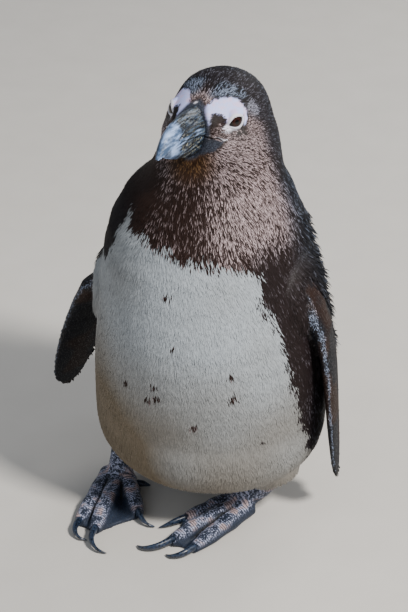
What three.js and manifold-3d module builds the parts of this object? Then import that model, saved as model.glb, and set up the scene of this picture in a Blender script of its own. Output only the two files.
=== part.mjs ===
// A juvenile African penguin standing at rest: a life-size still model, divided into named sub-parts.
//
// Units are millimetres, +Z is up, the bird faces -Y and its left side is at +X. The whole bird is shifted
// at the end so that the origin is the middle of its bounding box's underside, on the floor.
//
// Trunk, neck and head are one implicit surface, sampled in rings and then parted with thin cuts. Bill,
// flippers, tail, legs and toes are lofts: rings of points along a path, closed at both ends.
import * as THREE from "three";
import { mergeVertices } from "three/addons/utils/BufferGeometryUtils.js";
import Module from "manifold-3d";

const wasm = await Module();
wasm.setup();

// ---------------------------------------------------------------- driving dimensions

const GAP = 0.35; // clearance between neighbouring solids
const LEFT = 1; // the bird's left, towards +X
const RIGHT = -1;

const BODY_BOTTOM = 22; // lowest point of the belly above the floor
const BODY_CAP = 82; // below this height the belly rounds off
const CAP_POWER = 2.7; // 2 would round the belly off as an ellipse, more makes it fuller

// Feathered outline of trunk and neck: at each height, the axis (x, y), half the width, and the depth from
// the axis to the front and to the back.
const TORSO = [
  { z: 80, x: 4, y: 2, half: 84, front: 76, back: 80 },
  { z: 120, x: 6, y: 1, half: 84, front: 84, back: 84 },
  { z: 155, x: 6, y: 0, half: 80, front: 86, back: 82 },
  { z: 190, x: 4, y: 0, half: 74, front: 83, back: 78 },
  { z: 220, x: 3, y: -1, half: 68, front: 76, back: 70 },
  { z: 245, x: 5, y: -2, half: 59, front: 66, back: 58 },
  { z: 265, x: 10, y: -4, half: 45, front: 55, back: 47 },
  { z: 285, x: 13, y: -6, half: 35, front: 44, back: 42 },
  { z: 300, x: 13, y: -7, half: 30, front: 35, back: 38 },
];
const TORSO_TOP = 318; // the neck's core ends here, within the skull
const TORSO_NARROWS_FROM = 288;

// The head's own frame has its origin at the bill's upper root, on the midline, and runs left, forward, up.
// Its yaw turns the bill to the bird's left, its pitch bill-down, its roll left-side-down, in degrees.
const HEAD = { x: 6.5, y: -42, z: 320.4, yaw: -8, pitch: -5, roll: 1 };
// Ellipsoids of the head in that frame, with their radii.
const SKULL = [
  { at: [0, -43, -12], radii: [30.5, 35, 26] },
  { at: [0, -14, -12], radii: [18, 21, 14] },
  { at: [12, -31, -23], radii: [17, 30, 19] },
  { at: [-12, -31, -23], radii: [17, 30, 19] },
  { at: [0, -50, -34], radii: [33, 30, 31] },
];
const SKULL_MIDDLE = [0, -34, -12];
const BLEND = 15; // how softly head, neck and trunk flow into each other

const TRUNK_NECK_Z = 258; // the cut between trunk and neck
const NECK_HEAD = { y: -6, z: 291, tilt: 15 }; // the cut under the chin and behind the skull

const EYE_RADIUS = 6.5;
const EYE_AT = [20.4, -17, -9.2]; // the way to the left eye from the skull's middle, in the head's frame
const EYE_INSET = 5.2; // from the face's surface in to the eyeball's middle

const BILL_LENGTH = 47; // from the upper root to the hooked tip
// Along the bill from its root (0) to its tip (1): height of the ridge, of the cutting edge and of the keel
// under the lower bill, and half the bill's width, in mm in the head's frame.
const RIDGE = [[-0.3, 0], [0, 0], [0.3, -0.3], [0.55, -1.8], [0.78, -6], [0.92, -12], [1, -18.5]];
const EDGE = [[-0.3, -19], [0, -16], [0.4, -13.5], [0.7, -14.5], [0.86, -17], [1, -20.5]];
const KEEL = [[-0.3, -31], [0, -31], [0.35, -28.5], [0.65, -24.5], [0.84, -20.5]];
const BILL_HALF_WIDTH = [[-0.3, 13], [0, 10.5], [0.4, 8], [0.75, 5.4], [0.92, 3.3], [1, 1.3]];
const BILL_START = -0.26; // the bill runs this far back into the head
const LOWER_BILL_END = 0.84;

const FLIPPER = { length: 168, halfChord: 25, halfThick: 5 };
// Where each flipper hangs from, and how far it leans out, swings forward and turns its rear edge
// inwards, in degrees.
const FLIPPER_POSE = {
  left: { shoulder: [74, 0, 198], splay: 9, swing: 4, twist: 6 },
  right: { shoulder: [-48, 0, 191], splay: 28.5, swing: -10, twist: 34 },
};
// Along the flipper from the shoulder (0) to the tip (1): shares of its half chord and half thickness, and
// how far its middle line runs back and bows outwards, in mm.
const FLIPPER_CHORD = [[-0.14, 0.6], [0.05, 0.72], [0.3, 0.96], [0.6, 0.92], [0.82, 0.78], [0.94, 0.56], [1, 0.15]];
const FLIPPER_THICK = [[-0.14, 1.5], [0.05, 1.35], [0.3, 1], [0.7, 0.7], [0.95, 0.42], [1, 0.2]];
const FLIPPER_SWEEP = [[-0.14, -3], [0.1, -3], [0.35, -1], [0.7, 5], [1, 14]];
const FLIPPER_BOW = [[-0.14, -14], [0.05, -6], [0.2, 4], [0.4, 7], [0.7, 4], [1, 0]]; // outwards, over the flank

const TAIL = { halfWidth: 23, halfThick: 8.5 };
const TAIL_LINE = [[0, 52, 64], [0, 80, 42], [0, 98, 20], [0, 111, 0.5]];

// Each foot stands with the root of its middle toe at (x, y), turned inwards by toeIn; the inner and the
// outer toe stand off the middle one by their angles, outwards positive. Claws turn inwards from their toes.
const FOOT_POSE = {
  left: {
    x: 31,
    y: -24,
    toeIn: 33,
    heel: [50, -12, 30],
    angles: { inner: -9, middle: 0, outer: 8 },
    clawTurns: { inner: 12, middle: 44, outer: 44 },
  },
  right: {
    x: -61,
    y: -19.5,
    toeIn: 5,
    heel: [-58, -5, 31],
    angles: { inner: -27, middle: 0, outer: 6 },
    clawTurns: { inner: 34, middle: 42, outer: 48 },
  },
};
// Each front toe: its root outwards and forward of the middle one's, its length, its radii and its claw's length.
const TOES = [
  { name: "inner", from: [-9, 0], length: 37, root: 6.2, end: 4.6, claw: 21.5 },
  { name: "middle", from: [0, 0], length: 59, root: 7.2, end: 5.2, claw: 32 },
  { name: "outer", from: [8, -4], length: 57, root: 6.2, end: 4.6, claw: 26 },
];
const HIND_TOE = { from: [-9, -4], angle: -100, clawTurn: 0, length: 9, root: 3.6, end: 2.8, claw: 10 };
const TOE_ROOT_Z = 9.5;
const CLAW_STEPS = [[0.45, 0.05], [0.32, 0.9], [0.23, 2.1]]; // shares of a claw's length and of its turn
const WEB_THICK = 2.6;
const LEG_TOP_Z = 48;

// ---------------------------------------------------------------- materials

const paint = (color, roughness) => new THREE.MeshStandardMaterial({ color, roughness, metalness: 0 });
const PLUMAGE_DARK = paint(0x2b2623, 0.8);
const PLUMAGE_BROWN = paint(0x4d3a31, 0.85);
const PLUMAGE_PALE = paint(0xb3a78f, 0.9);
const BILL_HORN = paint(0x4c5460, 0.45);
const FOOT_SKIN = paint(0x3a3d46, 0.6);
const CLAW_HORN = paint(0x1d2430, 0.4);
const EYE_GLOSS = paint(0x1c0d08, 0.08);

// ---------------------------------------------------------------- solids

/** A closed surface through rings of points, which run counter-clockwise about the way they follow. */
function loft(rings) {
  const count = rings[0].length;
  const middle = (ring) => ring.reduce((sum, p) => sum.add(p), new THREE.Vector3()).divideScalar(count);
  const points = [...rings.flat(), middle(rings[0]), middle(rings.at(-1))];
  const startMiddle = points.length - 2;
  const endMiddle = points.length - 1;
  const index = [];
  for (let i = 0; i < rings.length - 1; i++) {
    for (let j = 0; j < count; j++) {
      const a = i * count + j;
      const b = i * count + ((j + 1) % count);
      index.push(a, b, b + count, a, b + count, a + count);
    }
  }
  const last = (rings.length - 1) * count;
  for (let j = 0; j < count; j++) {
    const next = (j + 1) % count;
    index.push(startMiddle, next, j, endMiddle, last + j, last + next);
  }
  return new THREE.BufferGeometry().setFromPoints(points).setIndex(index);
}

/** A geometry as a manifold solid. */
function solid(geometry) {
  const bare = geometry.clone();
  bare.deleteAttribute("normal");
  bare.deleteAttribute("uv");
  const merged = mergeVertices(bare, 1e-4);
  return new wasm.Manifold(
    new wasm.Mesh({
      numProp: 3,
      vertProperties: new Float32Array(merged.attributes.position.array),
      triVerts: new Uint32Array(merged.index.array),
    }),
  );
}

/** A manifold solid as a named mesh. */
function part(name, made, material) {
  const mesh = made.getMesh();
  const geometry = new THREE.BufferGeometry()
    .setAttribute("position", new THREE.BufferAttribute(mesh.vertProperties, 3))
    .setIndex(new THREE.BufferAttribute(mesh.triVerts, 1));
  geometry.computeVertexNormals();
  const node = new THREE.Mesh(geometry, material);
  node.name = name;
  return node;
}

/** The largest piece of a solid, without crumbs that a cut may leave. */
const mainPiece = (made) => made.decompose().sort((a, b) => b.volume() - a.volume())[0];

/** A tube of elliptical section along a curve, with half-sizes from size(t): [across, upright]. */
function tube(curve, steps, sides, size, grow = 0) {
  const rings = [];
  for (let i = 0; i <= steps; i++) {
    const t = i / steps;
    const along = curve.getTangentAt(t);
    const upright = new THREE.Vector3().crossVectors(along, new THREE.Vector3(1, 0, 0)).normalize();
    const across = new THREE.Vector3().crossVectors(upright, along).normalize();
    const [a, b] = size(t);
    const beyond = (i === steps ? grow : 0) - (i === 0 ? grow : 0);
    const centre = curve.getPointAt(t).addScaledVector(along, beyond);
    const ring = Array.from({ length: sides }, (_, j) => {
      const angle = (2 * Math.PI * j) / sides;
      return centre
        .clone()
        .addScaledVector(across, (a + grow) * Math.cos(angle))
        .addScaledVector(upright, (b + grow) * Math.sin(angle));
    });
    rings.push(ring);
  }
  return loft(rings);
}

const radians = THREE.MathUtils.degToRad;
const vector = (x, y, z) => new THREE.Vector3(x, y, z);

/** A value between knots [position, value], with smooth steps between them. */
function profile(knots, t) {
  if (t <= knots[0][0]) return knots[0][1];
  const next = knots.findIndex(([position]) => position > t);
  if (next < 0) return knots.at(-1)[1];
  const slope = (i) => {
    const before = knots[Math.max(i - 1, 0)];
    const after = knots[Math.min(i + 1, knots.length - 1)];
    return (after[1] - before[1]) / (after[0] - before[0]);
  };
  const [x0, y0] = knots[next - 1];
  const [x1, y1] = knots[next];
  const width = x1 - x0;
  const s = (t - x0) / width;
  const hermite = (1 + 2 * s) * (1 - s) ** 2 * y0 + s * s * (3 - 2 * s) * y1;
  return hermite + width * (s * (1 - s) ** 2 * slope(next - 1) - s * s * (1 - s) * slope(next));
}

// ---------------------------------------------------------------- the body's implicit surface

const torsoKnots = Object.fromEntries(
  ["x", "y", "half", "front", "back"].map((key) => [key, TORSO.map((s) => [s.z, s[key]])]),
);
const torsoAt = (key, z) => profile(torsoKnots[key], z);

const headFrame = new THREE.Matrix4()
  .makeTranslation(HEAD.x, HEAD.y, HEAD.z)
  .multiply(new THREE.Matrix4().makeRotationZ(radians(HEAD.yaw)))
  .multiply(new THREE.Matrix4().makeRotationX(radians(HEAD.pitch)))
  .multiply(new THREE.Matrix4().makeRotationY(radians(HEAD.roll)));
const intoHead = headFrame.clone().invert();
/** A point of the head's frame (left, forward, up) in the bird's frame. */
const inHead = (left, forward, up) => vector(left, -forward, up).applyMatrix4(headFrame);

/** Signed distance, near the surface, to trunk and neck: negative inside. */
function torsoDistance(x, y, z) {
  const dx = x - torsoAt("x", z);
  const dy = y - torsoAt("y", z);
  if (z <= BODY_BOTTOM) return BODY_BOTTOM - z + 1;
  if (z >= TORSO_TOP) return Math.hypot(dx, dy, z - TORSO_TOP);
  const down = Math.max(0, (BODY_CAP - z) / (BODY_CAP - BODY_BOTTOM));
  const up = Math.max(0, (z - TORSO_NARROWS_FROM) / (TORSO_TOP - TORSO_NARROWS_FROM));
  const cap = (1 - down ** CAP_POWER) ** (1 / CAP_POWER) * Math.sqrt(1 - up * up);
  const half = torsoAt("half", z) * cap;
  const depth = torsoAt(dy < 0 ? "front" : "back", z) * cap;
  const reach = Math.hypot(dx / half, dy / depth);
  return reach < 1e-6 ? -half : Math.hypot(dx, dy) * (1 - 1 / reach);
}

function ellipsoidDistance(p, { at, radii }) {
  const q = [p.x - at[0], -p.y - at[1], p.z - at[2]];
  const scaled = Math.hypot(...q.map((v, i) => v / radii[i]));
  const steep = Math.hypot(...q.map((v, i) => v / radii[i] ** 2));
  return steep < 1e-9 ? -Math.min(...radii) : (scaled * (scaled - 1)) / steep;
}

/** The union of two distances with a rounded valley between them. */
function softUnion(a, b, width) {
  const near = Math.max(width - Math.abs(a - b), 0) / width;
  return Math.min(a, b) - (near * near * width) / 4;
}

function bodyDistance(x, y, z) {
  const p = vector(x, y, z).applyMatrix4(intoHead);
  const head = SKULL.map((e) => ellipsoidDistance(p, e)).reduce((a, b) => softUnion(a, b, BLEND / 2));
  return softUnion(torsoDistance(x, y, z), head, BLEND);
}

/** How far the surface, grown by some amount, lies from a point inside, along a unit direction. */
function reachFrom(from, direction, grow = 0) {
  const at = (r) => bodyDistance(...from.clone().addScaledVector(direction, r).toArray()) - grow;
  let outside = 4;
  while (at(outside) < 0) outside += 4;
  let inside = outside - 4;
  for (let i = 0; i < 16; i++) {
    const r = (inside + outside) / 2;
    if (at(r) < 0) inside = r;
    else outside = r;
  }
  return (inside + outside) / 2;
}

const skullMiddle = inHead(...SKULL_MIDDLE);

/** The line through the body from which its rings are sampled. */
function axisAt(z) {
  const rise = THREE.MathUtils.smoothstep(z, 220, skullMiddle.z);
  return vector(skullMiddle.x * rise, skullMiddle.y * rise, z);
}

const BODY_SIDES = 40;
const TRUNK_RINGS = 20;
const HEAD_RINGS = 15;
const HEAD_RINGS_FROM = 285; // rings lie closer above this height

/** Trunk, neck and head in one, with their surface moved out by some amount. */
function bodySolid(grow = 0) {
  const bottom = BODY_BOTTOM - grow + 0.2;
  const crown = skullMiddle.z + reachFrom(skullMiddle, vector(0, 0, 1), grow) - 0.2;
  const heights = [];
  for (let i = 0; i < TRUNK_RINGS; i++) {
    heights.push(bottom + (HEAD_RINGS_FROM - bottom) * (i / TRUNK_RINGS) ** 1.4);
  }
  for (let i = 0; i <= HEAD_RINGS; i++) {
    heights.push(HEAD_RINGS_FROM + (crown - HEAD_RINGS_FROM) * Math.sin((Math.PI / 2) * (i / HEAD_RINGS)));
  }
  const ringAt = (z) =>
    Array.from({ length: BODY_SIDES }, (_, j) => {
      const angle = (2 * Math.PI * j) / BODY_SIDES;
      const out = vector(Math.cos(angle), Math.sin(angle), 0);
      const centre = axisAt(z);
      return centre.addScaledVector(out, reachFrom(centre, out, grow));
    });
  return solid(loft(heights.map(ringAt)));
}

/** A thin slab that parts the body: its middle, and its tilt about X in degrees. */
function slab(y, z, tilt) {
  const box = new THREE.BoxGeometry(400, 400, GAP);
  box.rotateX(radians(tilt)).translate(0, y, z);
  return solid(box);
}

// ---------------------------------------------------------------- head, bill and eyes

/** Where an eye's middle lies: in from the face's surface, on the line from the skull's middle. */
function eyeCentre(side) {
  const [left, forward, up] = EYE_AT;
  const out = inHead(side * left, forward, up).sub(skullMiddle).normalize();
  return skullMiddle.clone().addScaledVector(out, reachFrom(skullMiddle, out) - EYE_INSET);
}

function eyeSolid(side, grow = 0) {
  const ball = new THREE.SphereGeometry(EYE_RADIUS + grow, 14, 8);
  return solid(ball.translate(...eyeCentre(side).toArray()));
}

/** One half of the bill, as rings round its long axis. */
function billSolid(upper, grow = 0) {
  const end = upper ? 1 : LOWER_BILL_END;
  const fullness = upper ? 1 : 0.55; // the lower bill is the boxier one
  const steps = 10;
  const sides = 12;
  const rings = [];
  for (let i = 0; i <= steps; i++) {
    const t = THREE.MathUtils.lerp(BILL_START, end, i / steps);
    const far = profile(upper ? RIDGE : KEEL, t);
    const edge = profile(EDGE, t) + (upper ? GAP / 2 : -GAP / 2);
    const half = profile(BILL_HALF_WIDTH, t) * (upper ? 1 : 0.88);
    const along = t * BILL_LENGTH - (i === 0 ? grow : 0);
    const middle = inHead(0, along, (far + edge) / 2);
    const ring = Array.from({ length: sides }, (_, j) => {
      const angle = (2 * Math.PI * j) / sides;
      const lift = Math.sin(angle);
      const rise = Math.max(upper ? lift : -lift, 0) ** fullness;
      const point = inHead(half * Math.cos(angle) * (1 - 0.25 * rise ** 2), along, edge + (far - edge) * rise);
      return point.addScaledVector(point.clone().sub(middle).normalize(), 1.3 * grow);
    });
    rings.push(ring);
  }
  return solid(loft(rings));
}

// ---------------------------------------------------------------- flippers and tail

function flipperSolid(side, pose) {
  const start = -0.14;
  const steps = 14;
  const sides = 14;
  const place = new THREE.Matrix4()
    .makeTranslation(...pose.shoulder)
    .multiply(new THREE.Matrix4().makeRotationX(radians(-pose.swing)))
    .multiply(new THREE.Matrix4().makeRotationY(radians(-side * pose.splay)))
    .multiply(new THREE.Matrix4().makeRotationZ(radians(side * pose.twist)));
  const rings = [];
  for (let i = 0; i <= steps; i++) {
    const t = start + (1 - start) * Math.sin((Math.PI / 2) * (i / steps));
    const half = profile(FLIPPER_CHORD, t) * FLIPPER.halfChord;
    const thick = profile(FLIPPER_THICK, t) * FLIPPER.halfThick;
    const sweep = profile(FLIPPER_SWEEP, t);
    const bow = side * profile(FLIPPER_BOW, t);
    const ring = Array.from({ length: sides }, (_, j) => {
      const angle = (2 * Math.PI * j) / sides;
      const back = Math.cos(angle); // -1 at the leading edge, 1 at the trailing edge
      const bulge = Math.sin(angle) * (1 - 0.42 * back);
      return vector(bow + thick * bulge, sweep + half * back, -t * FLIPPER.length).applyMatrix4(place);
    });
    rings.push(ring);
  }
  return solid(loft(rings));
}

function tailSolid() {
  const curve = new THREE.CatmullRomCurve3(TAIL_LINE.map((p) => vector(...p)));
  const size = (t) => [TAIL.halfWidth * (1 - 0.5 * t ** 1.5), TAIL.halfThick * (1 - 0.72 * t)];
  return solid(tube(curve, 8, 14, size));
}

// ---------------------------------------------------------------- legs and feet

/** From a foot's own frame (outwards, forward, up; origin under the middle toe's root) to the bird's. */
function footFrame(side, pose) {
  return new THREE.Matrix4()
    .makeTranslation(pose.x, pose.y, 0)
    .multiply(new THREE.Matrix4().makeRotationZ(radians(-side * pose.toeIn)));
}
const inFoot = (side, out, forward, up) => vector(side * out, -forward, up);

/** A foot's four toes as that foot holds them. */
function toesOf(pose) {
  const held = (toe) => ({ ...toe, angle: pose.angles[toe.name], clawTurn: pose.clawTurns[toe.name] });
  return [...TOES.map(held), HIND_TOE];
}

/** A point along a toe from its root, in the foot's frame. */
function toePoint(side, toe, along, up) {
  const turn = radians(toe.angle);
  const [out, forward] = toe.from;
  return inFoot(side, out + along * Math.sin(turn), forward + along * Math.cos(turn), up);
}

/** The leg from within the belly down to the toes' roots. */
function legSolid(side, pose, grow = 0) {
  const heel = vector(...pose.heel);
  const joint = vector(side * -1, 3, TOE_ROOT_Z).applyMatrix4(footFrame(side, pose));
  const curve = new THREE.CatmullRomCurve3([vector(heel.x, heel.y + 6, LEG_TOP_Z), heel, joint]);
  return solid(tube(curve, 7, 12, (t) => [12 - 4 * t, 11.5 - 4 * t], grow));
}

function toeSolid(side, toe) {
  const curve = new THREE.CatmullRomCurve3([
    toePoint(side, toe, -4, TOE_ROOT_Z * 0.85),
    toePoint(side, toe, toe.length * 0.45, toe.root * 0.84),
    toePoint(side, toe, toe.length, toe.end * 0.82),
  ]);
  const size = (t) => {
    const knuckle = 1 + 0.1 * Math.sin(Math.PI * t) + 0.06 * Math.cos(6 * Math.PI * t);
    const radius = THREE.MathUtils.lerp(toe.root, toe.end, t) * (t > 0.97 ? 0.75 : knuckle);
    return [radius * 1.06, radius * 0.97];
  };
  return solid(tube(curve, 6, 8, size));
}

/** A claw that leaves the toe's end, arches over and hooks inwards as it comes down. */
function clawSolid(side, toe, grow = 0) {
  const path = [toePoint(side, toe, toe.length - 4, toe.end * 1.02)];
  for (const [reach, turned] of CLAW_STEPS) {
    const turn = radians(toe.angle - toe.clawTurn * turned);
    const step = inFoot(side, reach * toe.claw * Math.sin(turn), reach * toe.claw * Math.cos(turn), 0);
    path.push(path[path.length - 1].clone().add(step));
  }
  path[1].z = toe.end;
  path[2].z = toe.end * 0.6;
  path[3].z = 1.1;
  const curve = new THREE.CatmullRomCurve3(path);
  const size = (t) => [2.5 * (1 - t) ** 0.7 + 0.45, 2.9 * (1 - t) ** 0.7 + 0.55];
  return solid(tube(curve, 5, 8, size, grow));
}

/** The web between the front toes, with a hollow front edge between each pair. */
function webSolid(side, pose) {
  const [inner, middle, outer] = toesOf(pose);
  const reach = (toe, share) => toePoint(side, toe, toe.length * share, 0);
  const stops = [reach(inner, 1), reach(middle, 1), reach(outer, 0.98)];
  const [start, end] = [reach(inner, -0.1), reach(outer, -0.06)];
  const shape = new THREE.Shape();
  shape.moveTo(start.x, start.y);
  shape.lineTo(stops[0].x, stops[0].y);
  for (let i = 1; i < stops.length; i++) {
    const hollow = stops[i - 1].clone().add(stops[i]).multiplyScalar(0.5 * 0.94);
    shape.quadraticCurveTo(hollow.x, hollow.y, stops[i].x, stops[i].y);
  }
  shape.lineTo(end.x, end.y);
  return solid(new THREE.ExtrudeGeometry(shape, { depth: WEB_THICK, bevelEnabled: false, curveSegments: 4 }));
}

function floorBlock() {
  return solid(new THREE.BoxGeometry(600, 600, 40).translate(0, 0, -20));
}
const floor = floorBlock();

function footSolid(side, pose) {
  const toes = toesOf(pose).map((toe) => toeSolid(side, toe));
  const local = [...toes, webSolid(side, pose)].reduce((a, b) => a.add(b));
  return local.transform(footFrame(side, pose).elements).subtract(floor);
}

// ---------------------------------------------------------------- assembly

const bird = new THREE.Group();

const whole = bodySolid();
// Room for the body among its neighbours: a little wider all round, and lower under the belly.
const bodyRoom = bodySolid(2 * GAP).add(whole.translate(0, 0, -2 * GAP));
const parted = whole.subtract(slab(0, TRUNK_NECK_Z, 0)).subtract(slab(NECK_HEAD.y, NECK_HEAD.z, NECK_HEAD.tilt));
const [trunk, neck, headBlock] = parted.decompose().sort((a, b) => a.boundingBox().min[2] - b.boundingBox().min[2]);

const roomInHead = [billSolid(true, GAP), billSolid(false, GAP), eyeSolid(LEFT, GAP), eyeSolid(RIGHT, GAP)];
const head = roomInHead.reduce((block, room) => block.subtract(room), headBlock);
bird.add(part("head", mainPiece(head), PLUMAGE_DARK));
bird.add(part("neck", neck, PLUMAGE_BROWN));
bird.add(part("trunk", trunk, PLUMAGE_PALE));
bird.add(part("bill_upper", billSolid(true), BILL_HORN));
bird.add(part("bill_lower", billSolid(false), BILL_HORN));
bird.add(part("tail", mainPiece(tailSolid().subtract(bodyRoom).subtract(floor)), PLUMAGE_DARK));

for (const [word, side] of [["left", LEFT], ["right", RIGHT]]) {
  const pose = FOOT_POSE[word];
  const frame = footFrame(side, pose).elements;
  const flipper = flipperSolid(side, FLIPPER_POSE[word]).subtract(bodyRoom);
  const leg = legSolid(side, pose).subtract(bodyRoom);
  bird.add(part(`eye_${word}`, eyeSolid(side), EYE_GLOSS));
  bird.add(part(`flipper_${word}`, mainPiece(flipper), PLUMAGE_DARK));
  bird.add(part(`leg_${word}`, mainPiece(leg), FOOT_SKIN));
  let foot = footSolid(side, pose).subtract(legSolid(side, pose, GAP));
  toesOf(pose).forEach((toe, i) => {
    const claw = clawSolid(side, toe).transform(frame).subtract(floor);
    foot = foot.subtract(clawSolid(side, toe, GAP).transform(frame));
    bird.add(part(`claw_${word}_${i + 1}`, mainPiece(claw), CLAW_HORN));
  });
  bird.add(part(`foot_${word}`, mainPiece(foot), FOOT_SKIN));
}

const box = new THREE.Box3().setFromObject(bird);
bird.position.set(-(box.min.x + box.max.x) / 2, -(box.min.y + box.max.y) / 2, -box.min.z);

export default bird;
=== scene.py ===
"""A young African penguin, standing: its skin, feathers and horn, and the studio round it.

Arrays of points are in millimetres, in the bird's own frame: the floor is z = 0, the bird faces -Y and
its left is +X. Head points also have coordinates (left, forward, up) from the root of the upper bill.
"""
import math

import bpy
import bmesh
import numpy as np
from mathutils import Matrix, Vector
from mathutils.bvhtree import BVHTree


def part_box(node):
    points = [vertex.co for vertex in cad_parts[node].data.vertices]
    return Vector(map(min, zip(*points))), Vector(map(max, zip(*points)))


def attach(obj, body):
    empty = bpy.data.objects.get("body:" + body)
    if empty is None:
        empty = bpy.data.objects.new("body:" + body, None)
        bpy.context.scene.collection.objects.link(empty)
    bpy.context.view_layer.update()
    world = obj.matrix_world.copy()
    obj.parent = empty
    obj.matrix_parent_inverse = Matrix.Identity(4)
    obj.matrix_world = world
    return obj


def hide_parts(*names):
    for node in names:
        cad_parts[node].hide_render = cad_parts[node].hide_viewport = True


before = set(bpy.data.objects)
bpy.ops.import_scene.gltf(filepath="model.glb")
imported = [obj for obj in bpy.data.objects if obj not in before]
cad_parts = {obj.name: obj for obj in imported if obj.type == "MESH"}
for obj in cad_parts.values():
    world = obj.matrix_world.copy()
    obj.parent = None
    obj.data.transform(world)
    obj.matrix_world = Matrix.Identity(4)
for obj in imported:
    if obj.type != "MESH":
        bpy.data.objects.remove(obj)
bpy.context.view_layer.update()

MM = 0.001
COARSE = 1.0

# ---------------- the bird's frame and its landmarks

LEFT, RIGHT = 1, -1
SIDES = {"left": LEFT, "right": RIGHT}
EYES_MIDDLE = np.array([9.09, -24.94, 309.46])  # halfway between the eyeballs
EYE_RADIUS = 6.5

HEAD_AT = np.array([6.5, -42.0, 320.4])  # the upper bill's root, on the midline
HEAD_YAW, HEAD_PITCH, HEAD_ROLL = map(math.radians, (-8, -5, 1))
SKULL_MIDDLE = np.array([0.0, -34.0, -12.0])  # left, forward, up

BODY_AXIS = np.array([5.0, 0.0])  # the upright line that body angles are measured about
BODY_RADIUS = 80.0

CAMERA_AT = np.array([321.0, -988.0, 754.0])
CAMERA_TARGET = np.array([0.0, 0.0, 154.0])
CAMERA_LENS = 102.35


def node_points(name):
    """A CAD node's corners and triangles, with equal corners merged, in mm in the frame of the record."""
    bm = bmesh.new()
    bm.from_mesh(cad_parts[name].data)
    bmesh.ops.remove_doubles(bm, verts=bm.verts, dist=2e-6)
    points = np.array([v.co for v in bm.verts]) / MM
    faces = np.array([[v.index for v in f.verts] for f in bm.faces])
    bm.free()
    return points, faces


def middle(name):
    low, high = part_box(name)
    return np.array((low + high) / 2) / MM


ORIGIN = (middle("eye_left") + middle("eye_right")) / 2 - EYES_MIDDLE


def rotation(axis, angle):
    c, s = math.cos(angle), math.sin(angle)
    turns = {
        "x": [[1, 0, 0], [0, c, -s], [0, s, c]],
        "y": [[c, 0, s], [0, 1, 0], [-s, 0, c]],
        "z": [[c, -s, 0], [s, c, 0], [0, 0, 1]],
    }
    return np.array(turns[axis])


HEAD_TURN = rotation("z", HEAD_YAW) @ rotation("x", HEAD_PITCH) @ rotation("y", HEAD_ROLL)


def to_head(points):
    """Bird's frame to the head's (left, forward, up)."""
    return ((points - HEAD_AT) @ HEAD_TURN) * [1, -1, 1]


def from_head(coords):
    return (np.asarray(coords) * [1, -1, 1]) @ HEAD_TURN.T + HEAD_AT


def head_direction(coords):
    """A direction of the head's frame as a unit vector of the bird's."""
    return unit((np.asarray(coords, float) * [1, -1, 1]) @ HEAD_TURN.T)


# ---------------- small maths


def unit(vectors):
    return vectors / np.maximum(np.linalg.norm(vectors, axis=-1, keepdims=True), 1e-9)


def smooth(low, high, x):
    t = np.clip((x - low) / (high - low), 0, 1)
    return t * t * (3 - 2 * t)


def mix(a, b, t):
    return a + (b - a) * t


def away_from(points, place):
    """Each point's distance from a place."""
    return np.linalg.norm(points - place, axis=1)


def hashed(cells, seed):
    """A number from 0 to 1 for each whole-number cell."""
    mixed = (cells * [73856093, 19349663, 83492791]).sum(axis=-1) + seed * 2654435761
    mixed = (mixed ^ (mixed >> 13)) * 1274126177 & 0xFFFFFFFF
    return ((mixed ^ (mixed >> 16)) & 0xFFFF) / 65535.0


def noise(points, size, seed=0):
    """Smooth noise from 0 to 1, with lumps of some size."""
    scaled = points / size
    base = np.floor(scaled).astype(np.int64)
    part = scaled - base
    part = part * part * (3 - 2 * part)
    total = np.zeros(len(points))
    for corner in np.ndindex(2, 2, 2):
        share = np.prod(np.where(corner, part, 1 - part), axis=-1)
        total += share * hashed(base + corner, seed)
    return total


def from_edge(points, a, b):
    """How far along an edge the nearest place to each point lies, 0 to 1, and the offset from there."""
    edge = b - a
    along = np.clip(((points - a) @ edge) / (edge @ edge), 0, 1)
    return along, points - a - along[:, None] * edge


def outline_distance(flat, outline):
    """Signed distance of 2-D points to a closed outline, positive inside."""
    outline = np.asarray(outline, float)
    nearest = np.full(len(flat), 1e9)
    inside = np.zeros(len(flat), bool)
    for a, b in zip(outline, np.roll(outline, -1, axis=0)):
        _, offset = from_edge(flat, a, b)
        nearest = np.minimum(nearest, np.linalg.norm(offset, axis=1))
        crosses = (a[1] > flat[:, 1]) != (b[1] > flat[:, 1])
        rise = 1e-9 if b[1] == a[1] else b[1] - a[1]
        inside ^= crosses & (flat[:, 0] < a[0] + (flat[:, 1] - a[1]) * (b[0] - a[0]) / rise)
    return np.where(inside, nearest, -nearest)


# ---------------- markings, shared by skin and coat

# The white of the belly, as (angle from the breast towards the bird's left in degrees, height).
WHITE_OUTLINE = [
    (-92, 20), (-90, 100), (-86, 150), (-78, 188), (-63, 208), (-54, 213), (-46, 224), (-42, 238), (-40, 250),
    (-36, 249), (-33, 240), (-28, 241), (-20, 239), (-6, 236), (2, 232), (12, 229), (25, 225), (37, 221),
    (42, 215), (43, 204), (48, 183), (54, 158), (59.5, 132), (65, 105), (73, 82), (81, 60), (92, 20),
]
# Dark spots on the belly: angle, height, radius.
SPOTS = [
    (-26, 133, 2.0), (-9, 140, 1.8), (-12.5, 127, 2.2), (-8, 130.5, 2.4), (1, 173, 1.6), (9.5, 110, 2.4),
    (27, 134.5, 2.8), (43.5, 92.5, 1.8), (26, 152.5, 1.8), (-3, 208, 2.2),
]
# The bare patch round the eye, as (way round the side of the head from its midline, up), from its front
# corner over the top, round the back and along the underside.
PATCH_OUTLINE = [
    (4.6, -0.6), (9, 2.2), (14, 3.8), (23.3, 3.6), (30.8, 1.9), (34.3, -4.1), (32.2, -9.0), (27.6, -12.6),
    (22.3, -13.0), (19.2, -10.8), (17.9, -8.6), (17.2, -6.6), (14.4, -4), (12.6, -4.4), (11.4, -3),
    (9.4, -4.6), (8.2, -9), (6.6, -5), (5.2, -1.5),
]
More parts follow.
